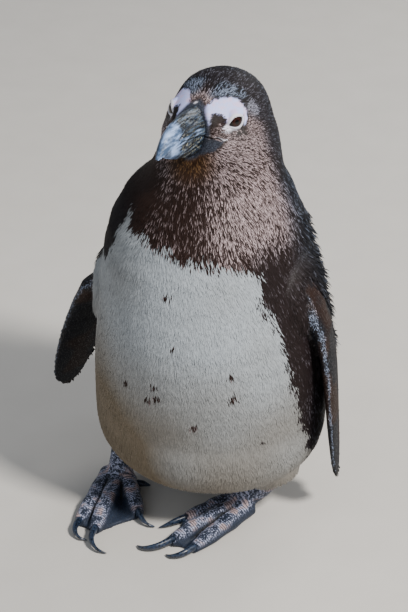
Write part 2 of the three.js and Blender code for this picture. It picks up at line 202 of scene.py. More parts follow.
# Places on the left side of the head: left, forward, up.
LORES = (15.0, -5.0, -8.0)  # the feathered hollow between eye and bill
MOUTH_CORNER = (20.0, -9.0, -21.0)
BEHIND_EYE = (13.7, -30, -4.5)
THROAT = (0, 6, -32)
ROUND_RADIUS = 27.0  # turns the angle about the skull's middle into the way round the head


def body_angle(points):
    x, y = points[:, 0] - BODY_AXIS[0], points[:, 1] - BODY_AXIS[1]
    return np.degrees(np.arctan2(x, -y))


def side_coords(head):
    """Way round the side of the head from its midline, and up."""
    angle = np.arctan2(np.abs(head[:, 0]), head[:, 1] - SKULL_MIDDLE[1])
    return np.column_stack([angle * ROUND_RADIUS, head[:, 2]])


def flatten(outline):
    """An outline in angle and height as millimetres on the unrolled body."""
    return [(math.radians(angle) * BODY_RADIUS, z) for angle, z in outline]


def on_left(head):
    """Head points with those of the right side mirrored to the left."""
    return np.abs(head) * [1, 0, 0] + head * [0, 1, 1]


def white_share(points):
    """The white of the belly, with its ragged edge and its dark spots."""
    flat = np.column_stack([np.radians(body_angle(points)) * BODY_RADIUS, points[:, 2]])
    ragged = (noise(points, 9, 1) - 0.5) * 9 + (noise(points, 3.2, 2) - 0.5) * 5
    white = smooth(-6, 6, outline_distance(flat, flatten(WHITE_OUTLINE)) + ragged)
    spot = np.zeros(len(points))
    for spot_angle, spot_z, radius in SPOTS:
        away = away_from(flat, flatten([(spot_angle, spot_z)]))
        spot = np.maximum(spot, smooth(radius + 0.8, radius - 0.8, away))
    return white * (1 - spot)


def markings(points):
    """The named shares, 0 to 1, from which skin and feathers take their colours, painted shade and painted
    light among them.
    """
    head, z = to_head(points), points[:, 2]
    angle = body_angle(points)
    on_head = smooth(262, 292, z)

    patch_depth = outline_distance(side_coords(head), PATCH_OUTLINE) + (noise(points, 2.0, 3) - 0.5) * 1.4
    bare = smooth(-0.5, 0.5, patch_depth) * on_head
    above_patch = smooth(7, 1, -patch_depth) * smooth(0, 4, head[:, 2]) * on_head
    behind_eye = smooth(6, 2, away_from(head * [0.5, 1, 1], BEHIND_EYE))
    lores = smooth(11, 7, away_from(on_left(head), LORES))
    lore_edge = lores * smooth(-4.5, -1.0, patch_depth) * smooth(-13, -8, head[:, 2])
    crown = smooth(-5, 5, head[:, 2] + 6 - 0.8 * (head[:, 1] + 24)) * on_head
    nape = smooth(-26, -46, head[:, 1]) * smooth(250, 285, z)
    forehead = smooth(-24, -6, head[:, 1]) * smooth(-3, 3, head[:, 2]) * on_head
    cheek = (1 - crown) * (1 - 0.5 * forehead) * smooth(-44, -24, head[:, 1]) * on_head
    mouth = smooth(8, 3, away_from(on_left(head), MOUTH_CORNER))
    throat = smooth(17, 6, away_from(head * [0.75, 0.7, 1], THROAT))

    front = smooth(100, 66, np.abs(angle + 4))
    before_back = smooth(-135, -95, angle)
    # painted shade on the bird's right side, away from the key light: fewer pale tips and less warmth at the
    # shoulders, fewer pale tips on the upper chest and neck
    shoulder_shade = before_back * smooth(-26, -44, angle) * smooth(262, 240, z)
    chest_shade = before_back * smooth(-14, -34, angle) * smooth(205, 225, z) * smooth(288, 262, z)
    warm = mix(front * (1 - 0.75 * shoulder_shade), mix(0.95, 0.15, np.maximum(crown * 0.85, nape)), on_head)
    warm = np.clip(warm + 0.6 * forehead - 0.9 * above_patch - 0.5 * lore_edge, 0, 1)
    pale = mix(0.48, 0.40, front) * (0.75 + 0.5 * noise(points, 22, 5))
    # pale tips raised on the front of the bird's left breast and neck: partly real pale tips, partly painted
    # sunlight on that side
    pale = mix(pale, 0.98, smooth(5, 30, angle) * front * smooth(215, 250, z))
    pale = mix(pale, mix(0.36, 0.88, cheek), np.maximum(on_head, nape))
    pale += 0.22 * forehead + 0.55 * above_patch + behind_eye + 0.45 * mouth
    flank = smooth(30, 48, angle) * smooth(245, 215, z)
    warm *= 1 - 0.45 * flank
    pale -= 0.12 * flank
    pale -= 0.5 * shoulder_shade + 0.45 * chest_shade + 0.25 * throat + 1.2 * lore_edge + 0.3 * lores
    # darker and creamier towards the bottom and on the bird's right: partly real staining of the belly,
    # partly painted shade
    low = smooth(205, 45, z)
    stain_and_shade = 0.75 * smooth(8, -60, angle) * mix(0.35, 1, low) + 0.7 * low + 0.4 * (noise(points, 35, 6) - 0.4)
    return {
        "white": white_share(points), "warm": warm, "gold": throat * (1 - crown), "bare": bare,
        "pale": np.clip(pale, 0, 1), "stain_and_shade": np.clip(stain_and_shade, 0, 1),
    }


# ---------------- meshes from arrays


def vertex_normals(points, faces):
    corners = points[faces]
    across = np.cross(corners[:, 1] - corners[:, 0], corners[:, 2] - corners[:, 0])
    normals = np.zeros_like(points)
    for corner in range(3):
        np.add.at(normals, faces[:, corner], across)
    return unit(normals)


def raw_mesh(name, points, faces):
    """A Blender mesh of triangles or triangles, in the units of its points."""
    mesh = bpy.data.meshes.new(name)
    sides = faces.shape[1]
    mesh.vertices.add(len(points))
    mesh.vertices.foreach_set("co", points.astype(np.float32).ravel())
    mesh.loops.add(faces.size)
    mesh.loops.foreach_set("vertex_index", faces.astype(np.int32).ravel())
    mesh.polygons.add(len(faces))
    mesh.polygons.foreach_set("loop_start", np.arange(0, faces.size, sides, dtype=np.int32))
    mesh.update(calc_edges=True)
    return mesh


def mesh_arrays(mesh):
    """A mesh's points and triangles."""
    points = np.empty(len(mesh.vertices) * 3, np.float32)
    mesh.vertices.foreach_get("co", points)
    mesh.calc_loop_triangles()
    faces = np.empty(len(mesh.loop_triangles) * 3, np.int32)
    mesh.loop_triangles.foreach_get("vertices", faces)
    return points.reshape(-1, 3).astype(float), faces.reshape(-1, 3)


def modified(points, faces, *steps):
    """The arrays of a mesh after some modifiers, each (type, {setting: value})."""
    thing = bpy.data.objects.new("work", raw_mesh("work", points, faces))
    bpy.context.scene.collection.objects.link(thing)
    for kind, settings in steps:
        modifier = thing.modifiers.new(kind, kind)
        for key, value in settings.items():
            setattr(modifier, key, value)
    shape = thing.evaluated_get(bpy.context.evaluated_depsgraph_get())
    made = mesh_arrays(shape.to_mesh())
    shape.to_mesh_clear()
    bpy.data.objects.remove(thing)
    return made


def remeshed(points, faces, voxel, smoothing):
    """One closed even surface round everything, in mm."""
    return modified(
        points, faces,
        ("REMESH", {"mode": "VOXEL", "voxel_size": voxel}),
        ("SMOOTH", {"factor": 0.5, "iterations": smoothing}),
    )


def joined(*shapes):
    points, faces, count = [], [], 0
    for some_points, some_faces in shapes:
        points.append(some_points)
        faces.append(some_faces + count)
        count += len(some_points)
    return np.concatenate(points), np.concatenate(faces)


def piece(name, points, faces, material, replaces=(), attributes=(), uv=None):
    """A finished piece of the bird, from arrays in mm in the bird's frame."""
    mesh = raw_mesh(name, (points + ORIGIN) * MM, faces)
    mesh.polygons.foreach_set("use_smooth", np.ones(len(faces), bool))
    for key, values in dict(attributes).items():
        mesh.attributes.new(key, "FLOAT", "POINT").data.foreach_set("value", values.astype(np.float32))
    if uv is not None:
        layer = mesh.uv_layers.new(name="OFBake")
        layer.data.foreach_set("uv", uv[faces.ravel()].astype(np.float32).ravel())
    mesh.materials.append(material)
    thing = bpy.data.objects.new(name, mesh)
    bpy.context.scene.collection.objects.link(thing)
    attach(thing, "root")
    if replaces:
        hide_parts(*replaces)


def bird_node(name):
    points, faces = node_points(name)
    return points - ORIGIN, faces


def moved_out(points, faces, amount):
    """A mesh with its surface moved out along its normals, by one or by each point's amount."""
    return points + vertex_normals(points, faces) * np.reshape(amount, (-1, 1)), faces


# ---------------- materials


class Graph:
    """A material's node tree, built from small calls."""

    def __init__(self, name, roughness, specular=0.5):
        self.material = bpy.data.materials.new(name)
        self.material.use_nodes = True
        self.nodes = self.material.node_tree.nodes
        self.links = self.material.node_tree.links
        self.shader = self.nodes["Principled BSDF"]
        self.shader.inputs["Roughness"].default_value = roughness
        self.shader.inputs["Specular IOR Level"].default_value = specular

    def feed(self, socket, value):
        if isinstance(value, bpy.types.NodeSocket):
            self.links.new(value, socket)
        elif isinstance(value, tuple) and len(value) == 3 and socket.type == "RGBA":
            socket.default_value = (*value, 1)
        else:
            socket.default_value = value

    def share(self, name):
        node = self.nodes.new("ShaderNodeAttribute")
        node.attribute_name = name
        return node.outputs["Fac"]

    def math(self, operation, a, b=0.0, clamp=False):
        node = self.nodes.new("ShaderNodeMath")
        node.operation, node.use_clamp = operation, clamp
        self.feed(node.inputs[0], a)
        self.feed(node.inputs[1], b)
        return node.outputs[0]

    def times(self, a, b, clamp=False):
        return self.math("MULTIPLY", a, b, clamp)

    def plus(self, a, b):
        return self.math("ADD", a, b)

    def mix(self, share, a, b, blend="MIX"):
        node = self.nodes.new("ShaderNodeMix")
        node.data_type, node.blend_type = "RGBA", blend
        self.feed(node.inputs[0], share)
        self.feed(node.inputs[6], a)
        self.feed(node.inputs[7], b)
        return node.outputs[2]

    def ramp(self, value, low, high, to_low=0.0, to_high=1.0):
        node = self.nodes.new("ShaderNodeMapRange")
        node.interpolation_type = "SMOOTHSTEP"
        for key, number in zip(("From Min", "From Max", "To Min", "To Max"), (low, high, to_low, to_high)):
            node.inputs[key].default_value = number
        self.feed(node.inputs["Value"], value)
        return node.outputs["Result"]

    def place(self):
        return self.nodes.new("ShaderNodeTexCoord").outputs["Object"]

    def drawn_out(self, across, along, ratio):
        """A place made of two attributes in mm, in which the second one is shortened by a ratio."""
        node = self.nodes.new("ShaderNodeCombineXYZ")
        self.feed(node.inputs["X"], self.times(self.share(across), MM))
        self.feed(node.inputs["Y"], self.times(self.share(along), MM * ratio))
        return node.outputs["Vector"]

    def noise(self, size, detail=3.0, place=None):
        """Noise from 0 to 1 with lumps of a size in mm."""
        node = self.nodes.new("ShaderNodeTexNoise")
        node.inputs["Scale"].default_value = 1 / (size * MM)
        node.inputs["Detail"].default_value = detail
        self.links.new(place or self.place(), node.inputs["Vector"])
        return node.outputs["Fac"]

    def cell_edges(self, size):
        """The distance from the edges of cells of a size in mm."""
        node = self.nodes.new("ShaderNodeTexVoronoi")
        node.feature = "DISTANCE_TO_EDGE"
        node.inputs["Scale"].default_value = 1 / (size * MM)
        self.links.new(self.place(), node.inputs["Vector"])
        return node.outputs["Distance"]

    def bump(self, height, depth, strength=1.0):
        node = self.nodes.new("ShaderNodeBump")
        node.inputs["Distance"].default_value = depth * MM
        node.inputs["Strength"].default_value = strength
        self.feed(node.inputs["Height"], height)
        self.links.new(node.outputs["Normal"], self.shader.inputs["Normal"])

    def finish(self, colour, roughness=None):
        self.feed(self.shader.inputs["Base Color"], colour)
        if roughness is not None:
            self.feed(self.shader.inputs["Roughness"], roughness)
        return self.material


# Linear colours of the plumage: down in the feathers, and at their tips.
COLD_DARK, WARM_DARK = (0.0045, 0.0050, 0.0085), (0.0175, 0.0072, 0.0048)
COLD_TIP, WARM_TIP = (0.30, 0.36, 0.50), (0.64, 0.51, 0.53)
GOLD_DARK, GOLD_TIP = (0.030, 0.012, 0.004), (0.30, 0.165, 0.07)
# the white, and its cream for the belly's staining and painted shade
WHITE, SHADED_CREAM = (0.385, 0.425, 0.465), (0.160, 0.128, 0.088)
PATCH_LILAC, PATCH_PINK = (0.51, 0.56, 1.0), (0.66, 0.53, 0.84)
RING_WHITE, RING_PINK = (0.66, 0.74, 0.86), (0.74, 0.64, 0.72)
SLATE, SLATE_BLUE = (0.007, 0.010, 0.018), (0.033, 0.052, 0.100)
SCUTE_PALE, SCUTE_PINK = (0.50, 0.54, 0.75), (0.58, 0.44, 0.45)
BLACK, CREASE_SHADE = (0.004, 0.004, 0.005), (0.010, 0.007, 0.007)
CHIN_GREY = (0.075, 0.085, 0.12)
# Linear colours of the horn and the eyes.
HORN_DARK, HORN_GREY = (0.004, 0.006, 0.010), (0.075, 0.11, 0.165)
HORN_BLUE, HORN_PALE = (0.05, 0.09, 0.17), (0.34, 0.49, 0.82)
HORN_STREAK, HORN_CREAM, HORN_INK_AND_SHADE = (0.06, 0.09, 0.15), (0.36, 0.36, 0.28), (0.005, 0.007, 0.012)
CLAW_DARK, CLAW_BLUE = (0.006, 0.010, 0.020), (0.030, 0.050, 0.095)
IRIS_DARK, IRIS_RED = (0.009, 0.0022, 0.0016), (0.036, 0.0085, 0.0045)
PUPIL, EYE_RIM = (0.0025, 0.0015, 0.0015), (0.003, 0.0015, 0.0015)

SCUTE_ROW = 1.8  # length in mm of the rows of scutes along the toes
PUPIL_EDGE, IRIS_EDGE = (1.45, 1.8), (2.9, 3.9)  # in mm from the eye's pole


def plumage_colour(g, tip, light):
    """The colour that skin and coat share, from the markings, the share of pale tip and a brightness."""
    dark = g.mix(g.share("gold"), g.mix(g.share("warm"), COLD_DARK, WARM_DARK), GOLD_DARK)
    pale = g.mix(g.share("gold"), g.mix(g.share("warm"), COLD_TIP, WARM_TIP), GOLD_TIP)
    white = g.mix(g.share("stain_and_shade"), WHITE, SHADED_CREAM)
    both = g.mix(g.share("white"), g.mix(tip, dark, pale), white)
    grey = g.nodes.new("ShaderNodeCombineColor")
    for channel in grey.inputs:
        g.links.new(light, channel)
    return g.mix(1.0, both, grey.outputs[0], "MULTIPLY")


def coat_material():
    g = Graph("feathers", roughness=0.62, specular=0.2)
    tint, along, across = g.share("tint"), g.share("along"), g.share("across")
    reach = g.times(g.ramp(along, 0.25, 0.7), g.ramp(across, 0.15, 0.75, 1.0, 0.1))
    bright = g.ramp(g.plus(tint, g.share("pale")), 1.05, 1.5)
    bright = g.times(bright, g.ramp(g.share("pale"), 0.0, 1.0, 0.45, 1.0))
    barbs = g.noise(0.30, 2.0, g.drawn_out("barb", "along", 1.2))
    worn = g.ramp(barbs, 0.38, 0.58, 0.25, 1.0)
    tip = g.times(g.times(reach, bright), worn, clamp=True)
    light = g.plus(g.ramp(tint, 0.0, 1.0, 0.84, 1.06), g.ramp(across, 0.0, 0.25, 0.10, 0.0))
    light = g.times(light, g.ramp(barbs, 0.3, 0.7, 0.88, 1.10))
    light = g.times(light, g.ramp(along, 0.0, 0.5, 0.8, 1.0))
    g.bump(barbs, 0.05)
    return g.finish(plumage_colour(g, tip, light))


def skin_material():
    g = Graph("skin", roughness=0.5, specular=0.35)
    fine = g.noise(1.1)
    tip = g.times(g.share("pale"), g.ramp(fine, 0.45, 0.75, 0.0, 0.4))
    colour = plumage_colour(g, tip, g.ramp(fine, 0.3, 0.7, 0.75, 1.0))
    patch = g.mix(g.ramp(g.noise(5.0), 0.45, 0.62), PATCH_LILAC, PATCH_PINK)
    colour = g.mix(g.share("bare"), colour, g.mix(g.ramp(fine, 0.2, 0.8, 0.0, 0.25), patch, RING_WHITE))
    scutes = g.cell_edges(1.25)
    turn = g.times(g.share("row"), 2 * math.pi / SCUTE_ROW)
    turn = g.plus(turn, g.times(g.noise(3.0), 6))
    rows = g.times(g.ramp(g.math("SINE", turn), -0.9, 0.1), g.share("scuted"))
    worn = g.plus(g.noise(1.1, 2.0), g.ramp(g.noise(9.0), 0.3, 0.7, -0.12, 0.22))
    mottle = g.times(g.ramp(worn, 0.46, 0.60), g.ramp(g.math("SINE", turn), -0.7, 0.2, 0.25, 1.0))
    horny = g.mix(g.ramp(g.noise(9.0), 0.52, 0.64), SCUTE_PALE, SCUTE_PINK)
    foot = g.mix(g.times(mottle, g.share("scuted")), g.mix(fine, SLATE, SLATE_BLUE), horny)
    foot = g.mix(g.ramp(scutes, 0.0, 0.10, 0.6, 0.0), foot, BLACK)
    # painted shade: the furrows between the toes painted black
    foot = g.mix(g.share("furrow"), foot, BLACK)
    colour = g.mix(g.share("slate"), colour, foot)
    chin = g.mix(g.ramp(g.noise(0.9, 5.0), 0.35, 0.85), SLATE, CHIN_GREY)
    colour = g.mix(g.share("chin"), colour, chin)
    colour = g.mix(g.share("ring"), colour, g.mix(g.noise(1.2), RING_PINK, RING_WHITE))
    # painted shade in the folds round the eyes and in the mouth's groove
    colour = g.mix(g.share("crease_shade"), colour, CREASE_SHADE)
    relief = g.plus(g.times(g.ramp(scutes, 0.0, 0.2), g.share("slate")), fine)
    relief = g.plus(relief, g.times(rows, 1.5))
    g.bump(relief, 0.25, 0.8)
    return g.finish(colour)


def bill_material():
    """Slate horn with streaks drawn out along the bill, pale towards the tip, with cream flecks, ink, and
    painted shade in the nostrils and down the culmen's right side.
    """
    g = Graph("bill_horn", roughness=0.36, specular=0.5)
    streaks = g.noise(1.5, 4.0, g.drawn_out("round", "reach", 0.16))
    flecks = g.noise(1.2, 2.0, g.drawn_out("round", "reach", 0.6))
    broad = g.noise(5.0, 3.0, g.drawn_out("round", "reach", 0.5))
    dark = g.mix(g.ramp(streaks, 0.44, 0.66), HORN_DARK, HORN_GREY)
    pale = g.mix(g.ramp(broad, 0.40, 0.62), HORN_BLUE, HORN_PALE)
    pale = g.mix(g.ramp(streaks, 0.3, 0.5, 0.8, 0.0), pale, HORN_STREAK)
    edge = g.plus(g.share("pale"), g.times(g.math("SUBTRACT", streaks, 0.5), 1.6))
    colour = g.mix(g.ramp(edge, 0.30, 0.80), dark, pale)
    cream = g.times(g.ramp(flecks, 0.55, 0.68), g.share("flecked"))
    colour = g.mix(cream, colour, HORN_CREAM)
    # ink, with painted shade in the nostrils and along the culmen
    colour = g.mix(g.share("inked_and_shaded"), colour, HORN_INK_AND_SHADE)
    g.bump(g.plus(streaks, flecks), 0.25, 0.8)
    return g.finish(colour, g.ramp(flecks, 0.3, 0.7, 0.30, 0.5))


def claw_material():
    g = Graph("claw_horn", roughness=0.32, specular=0.5)
    growth = g.noise(1.6, 3.0)
    colour = g.mix(g.ramp(growth, 0.35, 0.7), CLAW_DARK, CLAW_BLUE)
    g.bump(growth, 0.12, 0.6)
    return g.finish(colour, g.ramp(growth, 0.3, 0.7, 0.26, 0.42))


def eye_material():
    """A black pupil, a dark reddish brown iris and a black rim, by the distance from the eye's pole."""
    g = Graph("eye", roughness=0.07, specular=0.3)
    g.shader.inputs["Coat Weight"].default_value = 0.12
    g.shader.inputs["Coat Roughness"].default_value = 0.03
    streaks = g.noise(0.5, 4.0)
    iris = g.mix(g.ramp(streaks, 0.3, 0.7), IRIS_DARK, IRIS_RED)
    colour = g.mix(g.ramp(g.share("pole"), *PUPIL_EDGE), PUPIL, iris)
    colour = g.mix(g.ramp(g.share("pole"), *IRIS_EDGE), colour, EYE_RIM)
    return g.finish(colour)


COAT, SKIN = coat_material(), skin_material()
BILL, CLAW, EYE = bill_material(), claw_material(), eye_material()

# ---------------- the skin

BODY_COAT, HEAD_COAT, FACE_COAT = 2.8, 1.5, 0.5  # how deep the skin lies inside the CAD model
FLIPPER_COAT = 0.6
CORE_VOXEL, SKIN_VOXEL = 2.0, 1.7
LONG_EDGE = 1.3  # edges over this are cut near the eyes and the mouth's corners
EYE_DETAIL, GAPE_DETAIL = 11, 3.2  # how far that reaches from each
SOLE_LEVEL = 0.02  # the skin's lowest level over the floor
TAIL_FLESH = 0.75  # the fleshy share of the tail's length
BILL_PLUG = -1.0  # the skin is closed this far forward of the bill's root

EYE_FACES = (0.78, 0.60, 0.10)  # where the left eye's opening faces: left, forward, up
OPENING = (5.6, 3.15)  # half its length and height
OPENING_TILT = math.radians(19)  # its rear corner is the higher one
LID_RADIUS = EYE_RADIUS + 0.65
LID_CREST = 0.22  # how much thicker the ring round the eye is at its middle
LID_REACH = (15.5, 12.5)  # the lids' shape fades out between these distances from the eye's middle
RING_WIDTH = 2.5
BARE_ROOT = 2.6  # how far bare dark skin reaches from the bill's root
WHITE_FLECK = (-1.5, -6.5, 1.4)  # a dab of white above the bill: left, forward, up
# The mouth's corner on the left cheek, from the bill back: left, forward, up.
GAPE = [(10.0, 3.0, -16.6), (13.8, 0.6, -17.4), (16.8, -1.5, -17.0), (20.2, -3.8, -19.0)]
# Bare slate skin between the lower bill and the mouth's corner: way round, up.
CHIN_OUTLINE = [
    (2, -17), (11, -17.8), (16.4, -18.8), (14.6, -22.4), (11.8, -25.4), (5.4, -28.6), (-6, -31), (-6, -17),
]


def root_of(name):
    """The middle of a limb's highest part, where it leaves the body."""
    points, _ = bird_node(name)
    high = points[:, 2] > np.quantile(points[:, 2], 0.9)
    return points[high].mean(axis=0)


ROOTS = {name: root_of(name) for name in ("flipper_left", "flipper_right", "leg_left", "leg_right", "tail")}
ROOT_REACH = {"flipper_left": 20, "flipper_right": 20, "leg_left": 14, "leg_right": 14, "tail": 22}
# The middle of each ankle seen from above, and how far outward of it each front toe starts.
ANKLES = {"left": (31.0, -24.0), "right": (-61.0, -19.5)}
TOE_ROOTS = (-9.0, 0.0, 8.0)
FURROW = 1.6  # how deep the furrows between the toes are pressed in


def near_root(points):
    """1 where a limb joins the body, falling to 0 away from it."""
    share = np.zeros(len(points))
    for name, root in ROOTS.items():
        reach = ROOT_REACH[name]
        share = np.maximum(share, smooth(reach + 10, reach, away_from(points, root)))
    return share


def coat_depth(points):
    head = to_head(points)
    depth = mix(BODY_COAT, HEAD_COAT, smooth(250, 290, points[:, 2]))
    depth = mix(depth, FACE_COAT, smooth(-30, -14, head[:, 1]) * smooth(275, 290, points[:, 2]))
    return mix(depth, -1.2, near_root(points))


def bill_plug(name):
    """The bill's root inside the head, which fills the room that the CAD model leaves for it."""
    points, faces = moved_out(*bird_node(name), 0.6)
    head = to_head(points)
    head[:, 1] = np.minimum(head[:, 1], BILL_PLUG)
    return from_head(head), faces


def body_core():
    """Trunk, neck and head as one surface, inside the coat."""
    shapes = [moved_out(*bird_node(name), 0.6) for name in ("head", "neck", "trunk", "eye_left", "eye_right")]
    shapes += [bill_plug("bill_upper"), bill_plug("bill_lower")]
    points, faces = remeshed(*joined(*shapes), CORE_VOXEL, 12)
    return moved_out(points, faces, -coat_depth(points))


def limbs():
    """Each limb's surface inside its own coat, with its root reaching into the body."""
    shapes = {}
    for word in SIDES:
        name = f"flipper_{word}"
        points, faces = bird_node(name)
        rooted = smooth(38, 14, away_from(points, ROOTS[name]))
        shapes[name] = moved_out(points, faces, mix(-FLIPPER_COAT, 2.0, rooted))
        shapes[f"leg_{word}"] = moved_out(*bird_node(f"leg_{word}"), 0.7)
        shapes[f"foot_{word}"] = moved_out(*bird_node(f"foot_{word}"), 0.2)
    points, faces = bird_node("tail")
    shapes["tail"] = (ROOTS["tail"] + (points - ROOTS["tail"]) * TAIL_FLESH, faces)
    return shapes


def tree_of(points, faces):
    return BVHTree.FromPolygons(points.tolist(), faces.tolist())


def parts_of(points, core, shapes):
    """The name of the limb that each point of the skin belongs to, or "body"."""
    names = np.full(len(points), "body", dtype="<U14")
    core_tree = tree_of(*core)
    for name, (limb_points, limb_faces) in shapes.items():
        low, high = limb_points.min(axis=0) - 2, limb_points.max(axis=0) + 2
        limb_tree = tree_of(limb_points, limb_faces)
        for i in np.flatnonzero(((points > low) & (points < high)).all(axis=1)):
            place = Vector(points[i])
            if limb_tree.find_nearest(place)[3] < core_tree.find_nearest(place)[3]:
                names[i] = name
    return names


def refined(points, faces, is_near, cuts, longest=0.0):
    """The mesh with the edges near some place, and over a length, cut into shorter ones."""
    bm = bmesh.new()
    bm.from_mesh(raw_mesh("work", points, faces))
    near = is_near(points)
    edges = [
        e for e in bm.edges
        if near[e.verts[0].index] and near[e.verts[1].index] and e.calc_length() > longest
    ]
    bmesh.ops.subdivide_edges(bm, edges=edges, cuts=cuts, use_grid_fill=True)
    bmesh.ops.triangulate(bm, faces=bm.faces)
    mesh = bpy.data.meshes.new("work")
    bm.to_mesh(mesh)
    bm.free()
    return mesh_arrays(mesh)


def eye_frame(side):
    """An eye's middle and the directions in which it faces, forward along its opening, and up."""
    word = "left" if side == LEFT else "right"
    centre = middle(f"eye_{word}") - ORIGIN
    left, forward, up = EYE_FACES
    out = head_direction((side * left, forward, up))
    ahead = head_direction((0, 1, 0))
    ahead = unit(ahead - out * (ahead @ out))
    above = np.cross(ahead, out) * side
    c, s = math.cos(OPENING_TILT), math.sin(OPENING_TILT)
    return centre, out, c * ahead - s * above, c * above + s * ahead


def lid_distance(points, side):
    """About how far outside the eye's opening each point is, in mm round the eyeball."""
    centre, out, ahead, above = eye_frame(side)
    way = unit(points - centre)
    facing = way @ out
    a = EYE_RADIUS * np.arctan2(way @ ahead, facing)
    b = EYE_RADIUS * np.arctan2(way @ above, facing)
    length, height = OPENING
    power = 1.55
    share = ((np.abs(a) / length) ** power + (np.abs(b) / height) ** power) ** (1 / power)
    scale = np.hypot(a, b) / np.maximum(share, 1e-6)
    return (share - 1) * scale, b


def eyelids(points, side):
    """Moves the skin round one eye into lids and a thick ring, and lets it pass behind the eyeball."""
    centre, *_ = eye_frame(side)
    away = away_from(points, centre)
    near = away < LID_REACH[0] + 0.5
    outside, rise = lid_distance(points[near], side)
    crest = LID_RADIUS + LID_CREST * np.sin(np.clip(outside / RING_WIDTH, 0, 1) * np.pi)
    target = mix(EYE_RADIUS - 1.2, crest, smooth(-0.1, 0.35, outside))
    groove = -0.4 * np.exp(-(((outside - RING_WIDTH - 0.7) / 0.55) ** 2)) * smooth(1.5, -0.5, rise)
    share = smooth(RING_WIDTH + 2.2, RING_WIDTH - 0.2, outside) * smooth(*LID_REACH, away[near])
    radius = mix(away[near], target, share) + groove
    radius = np.maximum(radius, np.where(outside > 0.3, EYE_RADIUS + 0.45, 0))
    moved = points.copy()
    moved[near] = centre + unit(points[near] - centre) * radius[:, None]
    return moved


def gape_offsets(points, side):
    """Each point's distance from the mouth's corner line, its height over it, and how far back it lies."""
    head = to_head(points) * [side, 1, 1]
    line = np.array(GAPE)
    best = np.full(len(points), 1e9)
    rise, back = np.zeros(len(points)), np.zeros(len(points))
    for i, (a, b) in enumerate(zip(line[:-1], line[1:])):
        along, offset = from_edge(head, a, b)
        away = np.linalg.norm(offset, axis=1)
        closer = away < best
        best = np.where(closer, away, best)
        rise = np.where(closer, offset[:, 2], rise)
        back = np.where(closer, (i + along) / (len(line) - 1), back)
    return best, rise, back


def lips(points, faces, side):
    """The fold at the mouth's corner: a groove between two lips."""
    away, rise, back = gape_offsets(points, side)
    near = smooth(3.5, 1.5, away)
    height = 0.5 * np.exp(-(((rise - 1.0) / 0.7) ** 2)) + 0.4 * np.exp(-(((rise + 1.1) / 0.7) ** 2))
    height -= 1.0 * np.exp(-((rise / 0.45) ** 2))
    return points + vertex_normals(points, faces) * (height * near * smooth(1.02, 0.9, back))[:, None]


def near_face_details(points):
    near = np.zeros(len(points), bool)
    for side in SIDES.values():
        near |= away_from(points, eye_frame(side)[0]) < EYE_DETAIL
        near |= gape_offsets(points, side)[0] < GAPE_DETAIL
    return near


def toe_lines(word):
    """The lines of a foot's three front toes seen from above, from their roots to their claws."""
    ankle = np.array(ANKLES[word])
    ends = []
    for toe in (1, 2, 3):
        claw, _ = bird_node(f"claw_{word}_{toe}")
        away = away_from(claw[:, :2], ankle)
        ends.append(claw[away < away.min() + 4, :2].mean(axis=0))
    ahead = unit(ends[1] - ankle)
    outward = SIDES[word] * np.array([-ahead[1], ahead[0]])
    return [(ankle + outward * root, end) for root, end in zip(TOE_ROOTS, ends)]


def toe_places(points, word):
    """Each point's distance from the nearest toe, how much further the next one is, and the way along."""
    aways, alongs = [], []
    for root, end in toe_lines(word):
        edge = end - root
        along = ((points[:, :2] - root) @ edge) / (edge @ edge)
        aways.append(away_from(points[:, :2], root + np.clip(along, -0.1, 1.2)[:, None] * edge))
        alongs.append(along * np.linalg.norm(edge))
    order = np.argsort(aways, axis=0)
    ranked = np.take_along_axis(np.array(aways), order, axis=0)
    along = np.take_along_axis(np.array(alongs), order, axis=0)[0]
    return ranked[0], ranked[1] - ranked[0], along


def toe_shares(points, parts):
    """On the feet: the shares of the toes' tops and of the furrows between them, and the way along in mm."""
    on_toe, furrow, row = np.zeros((3, len(points)))
    for word in SIDES:
        own = (parts == f"foot_{word}") | (parts == f"leg_{word}")
        away, next_away, along = toe_places(points[own], word)
        on_toe[own] = smooth(6.5, 3.8, away) * smooth(4.0, 7.5, points[own, 2])
        furrow[own] = smooth(2.6, 0.6, next_away) * smooth(12, 8, away) * smooth(2.0, 5.0, points[own, 2])
        furrow[own] *= smooth(-2, 8, along)
        row[own] = along
    return on_toe, furrow, row


def make_skin():
    """Points and triangles of the skin, and the part that each point belongs to."""
    core = body_core()
    shapes = limbs()
    points, faces = remeshed(*joined(core, *shapes.values()), SKIN_VOXEL, 3)
    points, faces = refined(points, faces, near_face_details, 3)
    for side in SIDES.values():
        points = eyelids(points, side)
    for _ in range(2):
        points, faces = refined(points, faces, near_face_details, 2, LONG_EDGE)
    for side in SIDES.values():
        points = lips(points, faces, side)
    parts = parts_of(points, core, shapes)
    _, furrow, _ = toe_shares(points, parts)
    points[:, 2] -= FURROW * furrow
    points[:, 2] = np.maximum(points[:, 2], SOLE_LEVEL)
    return points, faces, parts


def near_bill(points):
    """1 on the skin that the bill's root meets, falling to 0 a few millimetres off."""
    horns = tree_of(*joined(bird_node("bill_upper"), bird_node("bill_lower")))
    away = np.zeros(len(points))
    on_face = (to_head(points)[:, 1] > -16) & (points[:, 2] > 280)
    for i in np.flatnonzero(on_face):
        away[i] = horns.find_nearest(Vector(points[i]))[3]
    return np.where(on_face, smooth(BARE_ROOT + 1, BARE_ROOT - 1, away), 0)


def painted_flipper_glint(points, normals):
    """1 on the painted blue-grey highlight that runs down behind a flipper's leading edge, where its surface
    faces forward and outward.
    """
    sideways = np.where(points[:, 0] > BODY_AXIS[0], 0.62, -0.62)
    outward = np.column_stack([sideways, np.full(len(points), -0.78)])
    return smooth(0.84, 0.97, (normals[:, :2] * outward).sum(axis=1))


